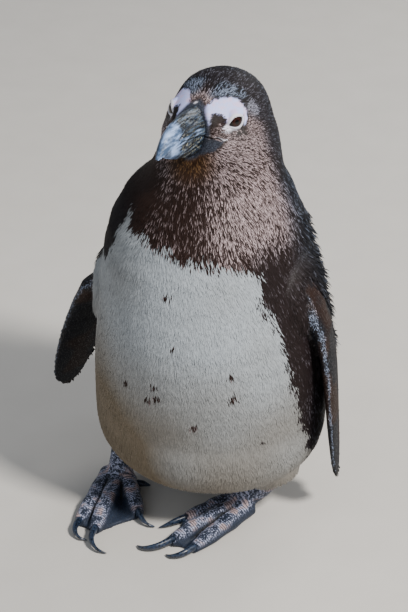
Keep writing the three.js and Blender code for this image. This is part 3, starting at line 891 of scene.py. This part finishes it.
def skin_shares(points, normals, parts):
    """The markings, with the marks of the bare skin and the limbs, the flippers' painted highlight, and
    painted shade in the folds round the eyes and the mouth.
    """
    shares = markings(points)
    head = to_head(points)
    on_head = points[:, 2] > 280
    is_flipper = np.char.startswith(parts, "flipper")
    shares["white"] = np.where(is_flipper | (parts == "tail"), 0, shares["white"])
    # painted highlight: pale tips and no brown along each flipper's leading edge
    painted_glint = painted_flipper_glint(points, normals)
    shares["pale"] = np.where(is_flipper, 0.30 * noise(points, 9, 8) + 1.1 * painted_glint, shares["pale"])
    brown = smooth(0.4, 0.7, noise(points, 14, 9)) * (1 - painted_glint)
    shares["warm"] = np.where(is_flipper, brown, shares["warm"])
    shares["ring"] = smooth(1.6, 0.9, away_from(head, WHITE_FLECK))
    shares["crease_shade"] = np.zeros(len(points))
    for side in SIDES.values():
        near = away_from(points, eye_frame(side)[0]) < 12
        outside, rise = lid_distance(points, side)
        ring = near * smooth(RING_WIDTH + 0.2, RING_WIDTH - 0.2, outside)
        # painted shade: a dark line in the fold under the ring, and on the lid's inner edge where the skin
        # turns in behind the eyeball
        under = smooth(0.0, 0.35, outside - RING_WIDTH) * smooth(1.4, 0.8, outside - RING_WIDTH)
        under *= smooth(0.5, -1.0, rise)
        inner = smooth(0.3, 0.0, outside)
        lid_shade = near * np.maximum(under, inner)
        away, rise, back = gape_offsets(points, side)
        lip = smooth(0.1, 0.35, rise) * smooth(1.3, 0.8, rise) * smooth(0.35, 0.55, back) * (away < 3)
        shares["ring"] = np.maximum.reduce([shares["ring"], ring, lip])
        # painted shade in the mouth's groove between the lips
        slit_shade = np.exp(-((rise / 0.35) ** 2)) * (away < 2.5) * smooth(1.0, 0.85, back)
        shares["crease_shade"] = np.maximum.reduce([shares["crease_shade"], lid_shade, slit_shade])
    chin = smooth(-0.4, 0.4, outline_distance(side_coords(head), CHIN_OUTLINE)) * on_head
    shares["chin"] = np.maximum(chin, near_bill(points) * on_head)
    is_foot = np.char.startswith(parts, "foot") | np.char.startswith(parts, "leg")
    shares["slate"] = (is_foot & (points[:, 2] < 40)).astype(float)
    on_toe, furrow, row = toe_shares(points, parts)
    on_leg = np.char.startswith(parts, "leg") * shares["slate"]
    shares["scuted"] = shares["slate"] * np.maximum(on_toe, 0.7 * on_leg)
    shares["furrow"] = furrow
    shares["row"] = row
    return shares


skin_points, skin_faces, skin_parts = make_skin()
skin_normals = vertex_normals(skin_points, skin_faces)
skin_marks = skin_shares(skin_points, skin_normals, skin_parts)
FLESH = ["head", "neck", "trunk", "tail"]
FLESH += [f"{limb}_{word}" for limb in ("flipper", "leg", "foot") for word in SIDES]
piece("skin", skin_points, skin_faces, SKIN, FLESH, skin_marks)
print("skin", len(skin_faces), "triangles")

# ---------------- bill, claws and eyes

BILL_VOXEL = 0.6
# The groove with the nostril along each side of the upper bill: left, forward, up.
NOSTRIL_GROOVE = [(6.2, 5.5, -5.1), (6.3, 13, -6.2), (6.3, 20.6, -7.3), (5.9, 29.8, -12)]
NOSTRIL_SLIT = (20.0, 28.5)  # forward, from its rear end to its front end
TIP_BLOT = (3.8, 38.3, -17.9)  # a grey blot near the tip of the left side


def line_offset(points, line):
    """Distance of points to a line through some places."""
    line = np.asarray(line, float)
    away = np.full(len(points), 1e9)
    for a, b in zip(line[:-1], line[1:]):
        away = np.minimum(away, np.linalg.norm(from_edge(points, a, b)[1], axis=1))
    return away


def bill_shares(head):
    """Where a bill is pale, flecked with cream, and marked with ink and painted shade, and each point's place
    round and along it.
    """
    left, forward, up = head.T
    groove = np.minimum(*(line_offset(head * [side, 1, 1], NOSTRIL_GROOVE) for side in SIDES.values()))
    rear, front = NOSTRIL_SLIT
    # painted shade in the open part of each nostril groove
    slit_shade = smooth(0.85, 0.4, groove) * smooth(rear - 9, rear, forward) * smooth(front + 1, front, forward)
    dark_cheek = smooth(4.5, 1.5, groove) * smooth(2, 6, forward) * smooth(24, 15, forward) * (up > -9)
    # painted shade along the right side of the culmen towards the tip, the side away from the key light
    ridge_shade = np.exp(-(((left + 1.9) / 1.0) ** 2)) * smooth(24, 31, forward) * (up > -12 - 0.5 * (forward - 30))
    band = np.exp(-(((up + 11.5 + 0.08 * (forward - 12)) / 1.9) ** 2)) * smooth(1, 6, forward)
    blot = smooth(3.2, 1.4, away_from((head - TIP_BLOT) * [0.5, 1, 0.8], 0))
    pale = np.maximum(smooth(17, 33, forward), 0.6 * band)
    low = smooth(-14, -17, up)
    return {
        "round": up - np.abs(left),
        "reach": forward,
        "pale": pale - 0.4 * dark_cheek,
        "flecked": smooth(28, 20, forward) * (0.3 + 0.6 * low),
        "inked_and_shaded": np.clip(slit_shade + 0.6 * ridge_shade + 0.7 * blot + 0.35 * dark_cheek, 0, 1),
    }


def bill_relief(head):
    """Height of the plates and grooves over the horn, in mm."""
    drawn = head * [1, 0.22, 1]
    relief = 0.6 * (noise(drawn, 1.5, 11) - 0.5) + 0.35 * (noise(head, 0.9, 12) - 0.5)
    relief *= smooth(34, 24, head[:, 1]) * 0.75 + 0.25
    for side in SIDES.values():
        away = line_offset(head * [side, 1, 1], NOSTRIL_GROOVE)
        relief -= 0.5 * np.exp(-((away / 1.0) ** 2))
        rear, front = NOSTRIL_SLIT
        open_part = smooth(rear - 3, rear + 1, head[:, 1]) * smooth(front + 2, front - 1, head[:, 1])
        relief -= 0.9 * np.exp(-((away / 0.55) ** 2)) * open_part
    return relief


def make_bill(name):
    points, faces = remeshed(*bird_node(name), BILL_VOXEL, 7)
    head = to_head(points)
    showing = smooth(-4, 0, head[:, 1])
    points, faces = moved_out(points, faces, bill_relief(head) * showing)
    piece(f"{name}_horn", points, faces, BILL, [name], bill_shares(head))


def make_claw(name):
    points, faces = bird_node(name)
    points, faces = modified(points, faces, ("SUBSURF", {"levels": 2, "render_levels": 2}))
    piece(f"{name}_horn", points, faces, CLAW, [name])


def make_eye(word):
    """An eyeball with rings of points round the pole that faces out of the lids."""
    centre, out, ahead, above = eye_frame(SIDES[word])
    rings, sides = 28, 40
    angle = np.repeat(np.linspace(0.02, math.pi - 0.02, rings), sides)
    turn = np.tile(np.arange(sides) * 2 * math.pi / sides, rings)
    round_pole = np.cos(turn)[:, None] * ahead + np.sin(turn)[:, None] * above
    way = np.cos(angle)[:, None] * out + np.sin(angle)[:, None] * round_pole
    points = centre + EYE_RADIUS * way
    triangles = []
    for ring in range(rings - 1):
        for side in range(sides):
            a, b = ring * sides + side, ring * sides + (side + 1) % sides
            triangles += [(a, a + sides, b + sides), (a, b + sides, b)]
    front, back = len(points), len(points) + 1
    points = np.vstack([points, centre + EYE_RADIUS * out, centre - EYE_RADIUS * out])
    for side in range(sides):
        following = (side + 1) % sides
        triangles += [(front, side, following), (back, front - 1 - side, front - 1 - following)]
    pole = np.append(angle * EYE_RADIUS, [0, math.pi * EYE_RADIUS])
    faces = np.array(triangles)
    if np.cross(ahead, above) @ out < 0:
        faces = faces[:, ::-1]
    piece(f"eyeball_{word}", points, faces, EYE, [f"eye_{word}"], {"pole": pole})


make_bill("bill_upper")
make_bill("bill_lower")
for side_word in SIDES:
    make_eye(side_word)
    for toe in range(1, 5):
        make_claw(f"claw_{side_word}_{toe}")

# ---------------- the coat

MOST_VANES = 24000  # per piece, with eight triangles each
PATCH_SIZE = 0.003  # of one feather on its piece's bake map
# A vane's corners: share of its length, of its half width and of its camber.
VANE = np.array([
    (0.00, 0.0, 0.0), (0.28, -0.9, 0.0), (0.28, 0.0, 1.0), (0.28, 0.9, 0.0),
    (0.72, -0.8, 0.0), (0.72, 0.0, 1.0), (0.72, 0.8, 0.0), (1.00, 0.0, 0.2),
])
VANE_FACES = np.array([
    (0, 3, 2), (0, 2, 1), (1, 2, 5), (1, 5, 4), (2, 3, 6), (2, 6, 5), (4, 5, 7), (5, 6, 7),
])
CAMBER = 0.25  # of the half width
ROOT_DEPTH = 0.03  # of the length, under the skin
BILL_ROOT = (0, 5, -15)  # feathers of the head lie away from here
BODY_LIE = np.array([0.0, 0.25, -1.0])
LIE_SPREAD = 0.14  # how far feathers turn at random, in radians
# The regions of the coat, and each one's feathers: mm, mm, degrees, and feathers per square millimetre.
REGIONS = ("back", "front", "neck", "head", "cheek", "face", "flipper")
FEATHER_LENGTH = (9.0, 7.6, 6.6, 5.2, 3.6, 2.0, 2.5)
FEATHER_WIDTH = (1.3, 0.95, 0.78, 0.68, 0.52, 0.40, 1.1)
FEATHER_LIFT = (8, 4.8, 7, 6, 6, 5, 2)
FEATHER_DENSITY = (0.78, 1.0, 1.25, 1.8, 2.6, 4.6, 1.0)
RUFFLED_LIFT = 24  # more lift where the back's feathers stand up, in degrees
FEATHER_FLOOR = 0.6  # no feather comes nearer to the floor
HEAD_BOTTOM, NECK_BOTTOM, BREAST_BOTTOM = 282, 236, 165  # levels between the pieces of the coat
FRONT_ANGLE = 80  # between the pieces of the front and the back


def limb_line(name):
    """A limb's unit direction from its root to its tip."""
    points, _ = bird_node(name)
    low = points[points[:, 2] <= np.quantile(points[:, 2], 0.08)].mean(axis=0)
    return unit(low - ROOTS[name])


LIMB_LINES = {name: limb_line(name) for name in ("flipper_left", "flipper_right", "tail")}


def lie_of(points, normals, parts):
    """The direction in which feathers lie: away from the bill, down the body, and along the limbs."""
    radial = unit(points - from_head(BILL_ROOT))
    lie = mix(BODY_LIE, radial, smooth(250, 296, points[:, 2])[:, None])
    for name, line in LIMB_LINES.items():
        on_limb = parts == name
        lie[on_limb] = line + (0 if name == "tail" else np.array([0, 0.22, 0]))
    lie -= normals * (lie * normals).sum(axis=1, keepdims=True)
    return unit(lie)


def turned(directions, normals, angles):
    across = np.cross(normals, directions)
    return directions * np.cos(angles)[:, None] + across * np.sin(angles)[:, None]


def scatter(density, seed):
    """Places spread evenly over the skin: points, normals, parts and each one's share of the marks."""
    rng = np.random.default_rng(seed)
    corners = skin_points[skin_faces]
    across = np.cross(corners[:, 1] - corners[:, 0], corners[:, 2] - corners[:, 0])
    area = np.linalg.norm(across, axis=1) / 2
    weight = np.cumsum(area * density[skin_faces].mean(axis=1))
    steps = np.arange(int(weight[-1])) + rng.random(int(weight[-1]))
    chosen = np.searchsorted(weight, steps * weight[-1] / (int(weight[-1]) + 1))
    u, v = rng.random((2, len(chosen)))
    over = u + v > 1
    u, v = np.where(over, 1 - u, u), np.where(over, 1 - v, v)
    shares = np.column_stack([1 - u - v, u, v])
    own = skin_faces[chosen]
    points = (skin_points[own] * shares[:, :, None]).sum(axis=1)
    normals = unit((skin_normals[own] * shares[:, :, None]).sum(axis=1))
    return points, normals, skin_parts[own[:, 0]], own, shares


def regions(points, parts):
    """The shares of face, cheek, head, neck, front and flipper at each place."""
    head = to_head(points)
    high = smooth(280, 292, points[:, 2])
    eye_line = smooth(-44, -14, head[:, 1]) * high
    return {
        "face": eye_line * smooth(-26, -15, head[:, 2]) * smooth(6, 0, head[:, 2] - 0.05 * head[:, 1]),
        "cheek": smooth(-60, -36, head[:, 1]) * high * smooth(4, -4, head[:, 2]),
        "head": smooth(262, 292, points[:, 2]),
        "neck": smooth(225, 250, points[:, 2]),
        "front": smooth(105, 70, np.abs(body_angle(points))),
        "flipper": np.char.startswith(parts, "flipper").astype(float),
    }


def blended(shares, values):
    """One number at each place, from the first region's to the last one's as its share takes over."""
    total = values[0]
    for key, value in zip(REGIONS[1:], values[1:]):
        total = mix(total, value, shares[key])
    return total


def ruffling(points):
    """Where the feathers of the left side's back stand up: 1 at most."""
    angle = body_angle(points)
    ruffled = smooth(72, 98, angle) * smooth(150, 125, angle)
    ruffled *= smooth(95, 130, points[:, 2]) * smooth(245, 215, points[:, 2])
    return ruffled * smooth(0.3, 0.75, noise(points, 4, 21))


def feather_size(points, parts):
    """Length, width and lift in degrees of the feather at each place."""
    shares = regions(points, parts)
    lift = blended(shares, FEATHER_LIFT) + RUFFLED_LIFT * ruffling(points) * (1 - shares["flipper"])
    return blended(shares, FEATHER_LENGTH), blended(shares, FEATHER_WIDTH), lift


def vanes(points, normals, directions, length, width, lift, rng):
    """Points and faces of some feathers."""
    count = len(points)
    length = length * rng.uniform(0.8, 1.2, count)
    width = width * rng.uniform(0.8, 1.2, count)
    lift = np.radians(lift) * rng.uniform(0.7, 1.35, count)
    across = np.cross(directions, normals)
    along, side, camber = VANE.T
    rise = along[None] * np.tan(lift)[:, None] * (1.25 - 0.45 * along[None])
    height = (rise - ROOT_DEPTH) * length[:, None] + camber[None] * CAMBER * width[:, None] / 2
    corners = (
        points[:, None]
        + directions[:, None] * (along[None] * length[:, None])[:, :, None]
        + across[:, None] * (side[None] * width[:, None] / 2)[:, :, None]
        + normals[:, None] * height[:, :, None]
    )
    faces = VANE_FACES[None] + len(VANE) * np.arange(count)[:, None, None]
    return corners.reshape(-1, 3), faces.reshape(-1, 3)


def patches(unrolled):
    """The bake map: each feather is a small patch at its root's place on the unrolled skin."""
    low, high = unrolled.min(axis=0), unrolled.max(axis=0)
    roots = 0.01 + 0.98 * (unrolled - low) / np.maximum(high - low, 1e-6)
    local = np.column_stack([VANE[:, 1] * 0.5, VANE[:, 0] - 0.5]) * PATCH_SIZE
    return (roots[:, None] + local[None]).reshape(-1, 2)


def unroll_body(points):
    """Round the trunk and down it, running on over the shoulders and under the belly."""
    radius = np.hypot(points[:, 0] - BODY_AXIS[0], points[:, 1] - BODY_AXIS[1])
    over = np.where(points[:, 2] < 90, radius - BODY_RADIUS, 0)
    return np.column_stack([np.radians(body_angle(points)) * BODY_RADIUS, points[:, 2] + over])


def unroll_head(points):
    """Each half of the head spread out round its own side, the two side by side."""
    way = unit(to_head(points) - SKULL_MIDDLE)
    side = np.where(way[:, 0] >= 0, 1.0, -1.0)
    tilt = np.arccos(np.clip(np.abs(way[:, 0]), 0, 1))
    flat = unit(way[:, 1:]) * tilt[:, None]
    return np.column_stack([flat[:, 0] * side + side * 1.7, flat[:, 1]])


def unroll_limb(name, points, normals):
    """A limb's two faces side by side, each seen square on."""
    line = LIMB_LINES[name]
    chord = unit(np.array([0.0, 1.0, 0.0]) - line * line[1])
    offset = points - ROOTS[name]
    face = np.where(normals @ np.cross(line, chord) >= 0, 1.0, -1.0)
    return np.column_stack([offset @ chord + face * 45, offset @ line])


def add_coat(name, points, normals, parts, marks, unrolled, rng):
    """One piece of the coat: a feather at each point."""
    count = len(points)
    length, width, lift = feather_size(points, parts)
    swirl = (noise(points, 14, 31) - 0.5) * 0.5 + rng.normal(0, LIE_SPREAD, count)
    directions = turned(lie_of(points, normals, parts), normals, swirl)
    corners, faces = vanes(points, normals, directions, length, width, lift, rng)
    corners[:, 2] = np.maximum(corners[:, 2], FEATHER_FLOOR)
    shares = {key: np.repeat(values, len(VANE)) for key, values in marks.items()}
    shares["tint"] = np.repeat(rng.random(count), len(VANE))
    shares["along"] = np.tile(VANE[:, 0], count)
    shares["across"] = np.tile(np.abs(VANE[:, 1]), count)
    shares["barb"] = (VANE[None, :, 1] * width[:, None] / 2).ravel() + 40 * shares["tint"]
    piece(name, corners, faces, COAT, (), shares, patches(unrolled))
    print(name, len(faces), "triangles")


def is_feathered(parts):
    """True on the points of the skin where feathers grow."""
    bare = np.maximum.reduce([skin_marks[key] for key in ("bare", "ring", "slate", "chin", "crease_shade")])
    head = to_head(skin_points)
    under_bill = (np.abs(head[:, 0]) < 8) & (head[:, 1] > 4) & (head[:, 2] > -28)
    is_leg = np.char.startswith(parts, "leg") & (skin_points[:, 2] < 34)
    return (bare < 0.35) & ~np.char.startswith(parts, "foot") & ~is_leg & ~under_bill


density = blended(regions(skin_points, skin_parts), FEATHER_DENSITY) * is_feathered(skin_parts) / COARSE**2
roots, root_normals, root_parts, own_corners, corner_shares = scatter(density, 41)
root_marks = {
    key: (skin_marks[key][own_corners] * corner_shares).sum(axis=1)
    for key in ("white", "warm", "pale", "stain_and_shade", "gold")
}


def coat_areas():
    """Each area of the coat: its name, which roots it has, and its slot."""
    angle, z = body_angle(roots), roots[:, 2]
    is_body = (root_parts == "body") | np.char.startswith(root_parts, "leg")
    left = to_head(roots)[:, 0] >= 0
    is_head, is_trunk = is_body & (z > HEAD_BOTTOM), is_body & (z <= NECK_BOTTOM)
    is_neck = is_body & (z <= HEAD_BOTTOM) & (z > NECK_BOTTOM)
    in_front = np.abs(angle) < FRONT_ANGLE
    breast = is_trunk & in_front & (z > BREAST_BOTTOM)
    belly = is_trunk & in_front & (z <= BREAST_BOTTOM)
    return [
        ("coat_head_left", is_head & left, "plumage_dark"),
        ("coat_head_right", is_head & ~left, "plumage_dark"),
        ("coat_neck_front", is_neck & in_front, "plumage_brown"),
        ("coat_neck_back", is_neck & ~in_front, "plumage_dark"),
        ("coat_breast", breast, "plumage_brown"),
        ("coat_belly_left", belly & (angle >= 0), "plumage_pale"),
        ("coat_belly_right", belly & (angle < 0), "plumage_pale"),
        ("coat_back_left", is_trunk & (angle >= FRONT_ANGLE), "plumage_dark"),
        ("coat_back_right", is_trunk & (angle <= -FRONT_ANGLE), "plumage_dark"),
        ("coat_flipper_left", root_parts == "flipper_left", "plumage_dark"),
        ("coat_flipper_right", root_parts == "flipper_right", "plumage_dark"),
        ("coat_tail", root_parts == "tail", "plumage_dark"),
    ]


def unroll(area, points, normals):
    """The flat places of an area's points on its bake map, before they are fitted to it."""
    if "head" in area:
        return unroll_head(points)
    if "flipper" in area or "tail" in area:
        return unroll_limb(area.removeprefix("coat_"), points, normals)
    return unroll_body(points)


def dress(name, area, own, rng):
    """Makes one piece of the coat from its roots."""
    points, normals = roots[own], root_normals[own]
    marks = {key: values[own] for key, values in root_marks.items()}
    marks["white"] = (marks["white"] > rng.uniform(0.15, 0.85, len(own))).astype(float)
    unrolled = unroll(area, points, normals)
    add_coat(name, points, normals, root_parts[own], marks, unrolled, rng)


def make_coat():
    """Each area of the coat as one piece, or from the floor up as several with few enough feathers."""
    for number, (area, chosen, slot) in enumerate(coat_areas()):
        own = np.flatnonzero(chosen)
        own = own[np.argsort(roots[own, 2])]
        splits = np.array_split(own, math.ceil(len(own) / MOST_VANES))
        for part, some in enumerate(splits, 1):
            name = f"{area}_{part}" if len(splits) > 1 else area
            dress(name, area, some, np.random.default_rng(100 + 10 * number + part))


make_coat()

# The stiff feathers of the tail: the line they follow, from within the coverts to their tips.
TAIL_LINE = np.array([(0, 62, 55), (0, 80, 41), (0, 92, 27), (0, 101, 14.5), (0, 110.5, 2.2)])
QUILLS, QUILL_WIDTH = 9, 6.0


def make_quills():
    """Two layers of long tail feathers, each a cambered blade of several rows."""
    rng = np.random.default_rng(7)
    rows = np.linspace(0, 1, 9)
    across = np.array([-1.0, -0.5, 0.0, 0.5, 1.0])
    points, faces, along, sides, tints, uvs = [], [], [], [], [], []
    for layer in (-1, 1):
        for number in range(QUILLS):
            spread = (number - (QUILLS - 1) / 2) / ((QUILLS - 1) / 2)
            reach = rows * (1 - 0.10 * abs(spread) - 0.05 * rng.random())
            where = reach * (len(TAIL_LINE) - 1)
            knots = np.arange(len(TAIL_LINE))
            line = np.column_stack([np.interp(where, knots, axis) for axis in TAIL_LINE.T])
            way = unit(np.gradient(line, axis=0))
            up = np.cross(np.array([1.0, 0, 0]), way)
            up *= np.sign(up[:, 1:2] + up[:, 2:3])
            line[:, 0] += spread * mix(17, 9.5, reach)
            line += up * (layer * mix(4.0, 0.6, reach) - 3.0 * spread**2 * (1 - reach))[:, None]
            half = QUILL_WIDTH / 2 * np.sin(np.pi * np.clip(0.25 + 0.75 * rows, 0, 0.985)) ** 0.5
            grid = line[:, None] + across[None, :, None] * half[:, None, None] * np.array([1.0, 0, 0])
            grid += up[:, None] * (0.6 * (1 - np.abs(across)))[None, :, None]
            start = len(points) * grid[..., 0].size
            points.append(grid.reshape(-1, 3))
            index = np.arange(grid[..., 0].size).reshape(len(rows), len(across)) + start
            a, b, c, d = index[:-1, :-1], index[:-1, 1:], index[1:, 1:], index[1:, :-1]
            faces.append(np.stack([a, b, c, a, c, d], axis=-1).reshape(-1, 3))
            along.append(np.repeat(rows, len(across)))
            sides.append(np.tile(np.abs(across), len(rows)))
            tints.append(np.full(index.size, rng.random()))
            place = np.array([0.1 + 0.8 * number / QUILLS, 0.3 + 0.4 * (layer > 0)])
            local = np.stack(np.meshgrid(rows - 0.5, across / 2, indexing="ij"), axis=-1).reshape(-1, 2)
            uvs.append(place + local[:, ::-1] * PATCH_SIZE)
    points = np.concatenate(points)
    points[:, 2] = np.maximum(points[:, 2], FEATHER_FLOOR)
    plain = np.zeros(len(points))
    shares = {"white": plain, "gold": plain, "stain_and_shade": plain, "warm": plain + 0.3, "pale": plain + 0.1}
    shares |= {"along": np.concatenate(along), "across": np.concatenate(sides), "tint": np.concatenate(tints)}
    faces, uvs = np.concatenate(faces), np.concatenate(uvs)
    piece("tail_quills", points, faces, COAT, (), shares, uvs)


make_quills()

# ---------------- studio and camera

FLOOR_HALF = 6.0  # metres
FLOOR_DARK, FLOOR_PALE = (0.60, 0.575, 0.54), (0.66, 0.635, 0.60)
SKY_COLOUR, SKY_STRENGTH = (0.86, 0.92, 1.0, 1), 0.34
LIT_PLACE = Vector((0, 0, 0.17))  # metres, as the places and sizes of the lights
# Each light's name, place, size, power and colour.
LIGHTS = [
    ("key", (1.30, -0.62, 1.70), 0.30, 66, (1.0, 0.965, 0.91)),
    ("fill", (-1.3, -1.2, 0.9), 1.2, 4, (0.9, 0.95, 1.0)),
    ("rim", (0.6, 1.4, 1.2), 0.8, 12, (1.0, 0.98, 0.95)),
]
SENSOR_WIDTH = 36


def make_floor():
    mesh = bpy.data.meshes.new("floor")
    corners = [(x * FLOOR_HALF, y * FLOOR_HALF, 0) for x, y in ((-1, -1), (1, -1), (1, 1), (-1, 1))]
    mesh.from_pydata(corners, [], [(0, 1, 2, 3)])
    g = Graph("floor", roughness=0.85, specular=0.2)
    mesh.materials.append(g.finish(g.mix(g.noise(40), FLOOR_DARK, FLOOR_PALE)))
    floor = bpy.data.objects.new("floor", mesh)
    bpy.context.scene.collection.objects.link(floor)


def area_light(name, place, size, power, colour):
    light = bpy.data.lights.new(name, "AREA")
    light.size, light.energy, light.color = size, power, colour
    lamp = bpy.data.objects.new(name, light)
    lamp.location = place
    lamp.rotation_euler = (LIT_PLACE - Vector(place)).to_track_quat("-Z", "Y").to_euler()
    bpy.context.scene.collection.objects.link(lamp)


def make_studio():
    world = bpy.data.worlds.new("studio")
    world.use_nodes = True
    sky = world.node_tree.nodes["Background"]
    sky.inputs["Color"].default_value = SKY_COLOUR
    sky.inputs["Strength"].default_value = SKY_STRENGTH
    bpy.context.scene.world = world
    for light in LIGHTS:
        area_light(*light)


def make_camera():
    camera = bpy.data.cameras.new("camera")
    camera.lens, camera.sensor_width = CAMERA_LENS, SENSOR_WIDTH
    camera.clip_start, camera.clip_end = 0.05, 50
    thing = bpy.data.objects.new("camera", camera)
    thing.location = (CAMERA_AT + ORIGIN) * MM
    way = Vector(CAMERA_TARGET - CAMERA_AT)
    thing.rotation_euler = way.to_track_quat("-Z", "Y").to_euler()
    bpy.context.scene.collection.objects.link(thing)
    bpy.context.scene.camera = thing


make_floor()
make_studio()
make_camera()
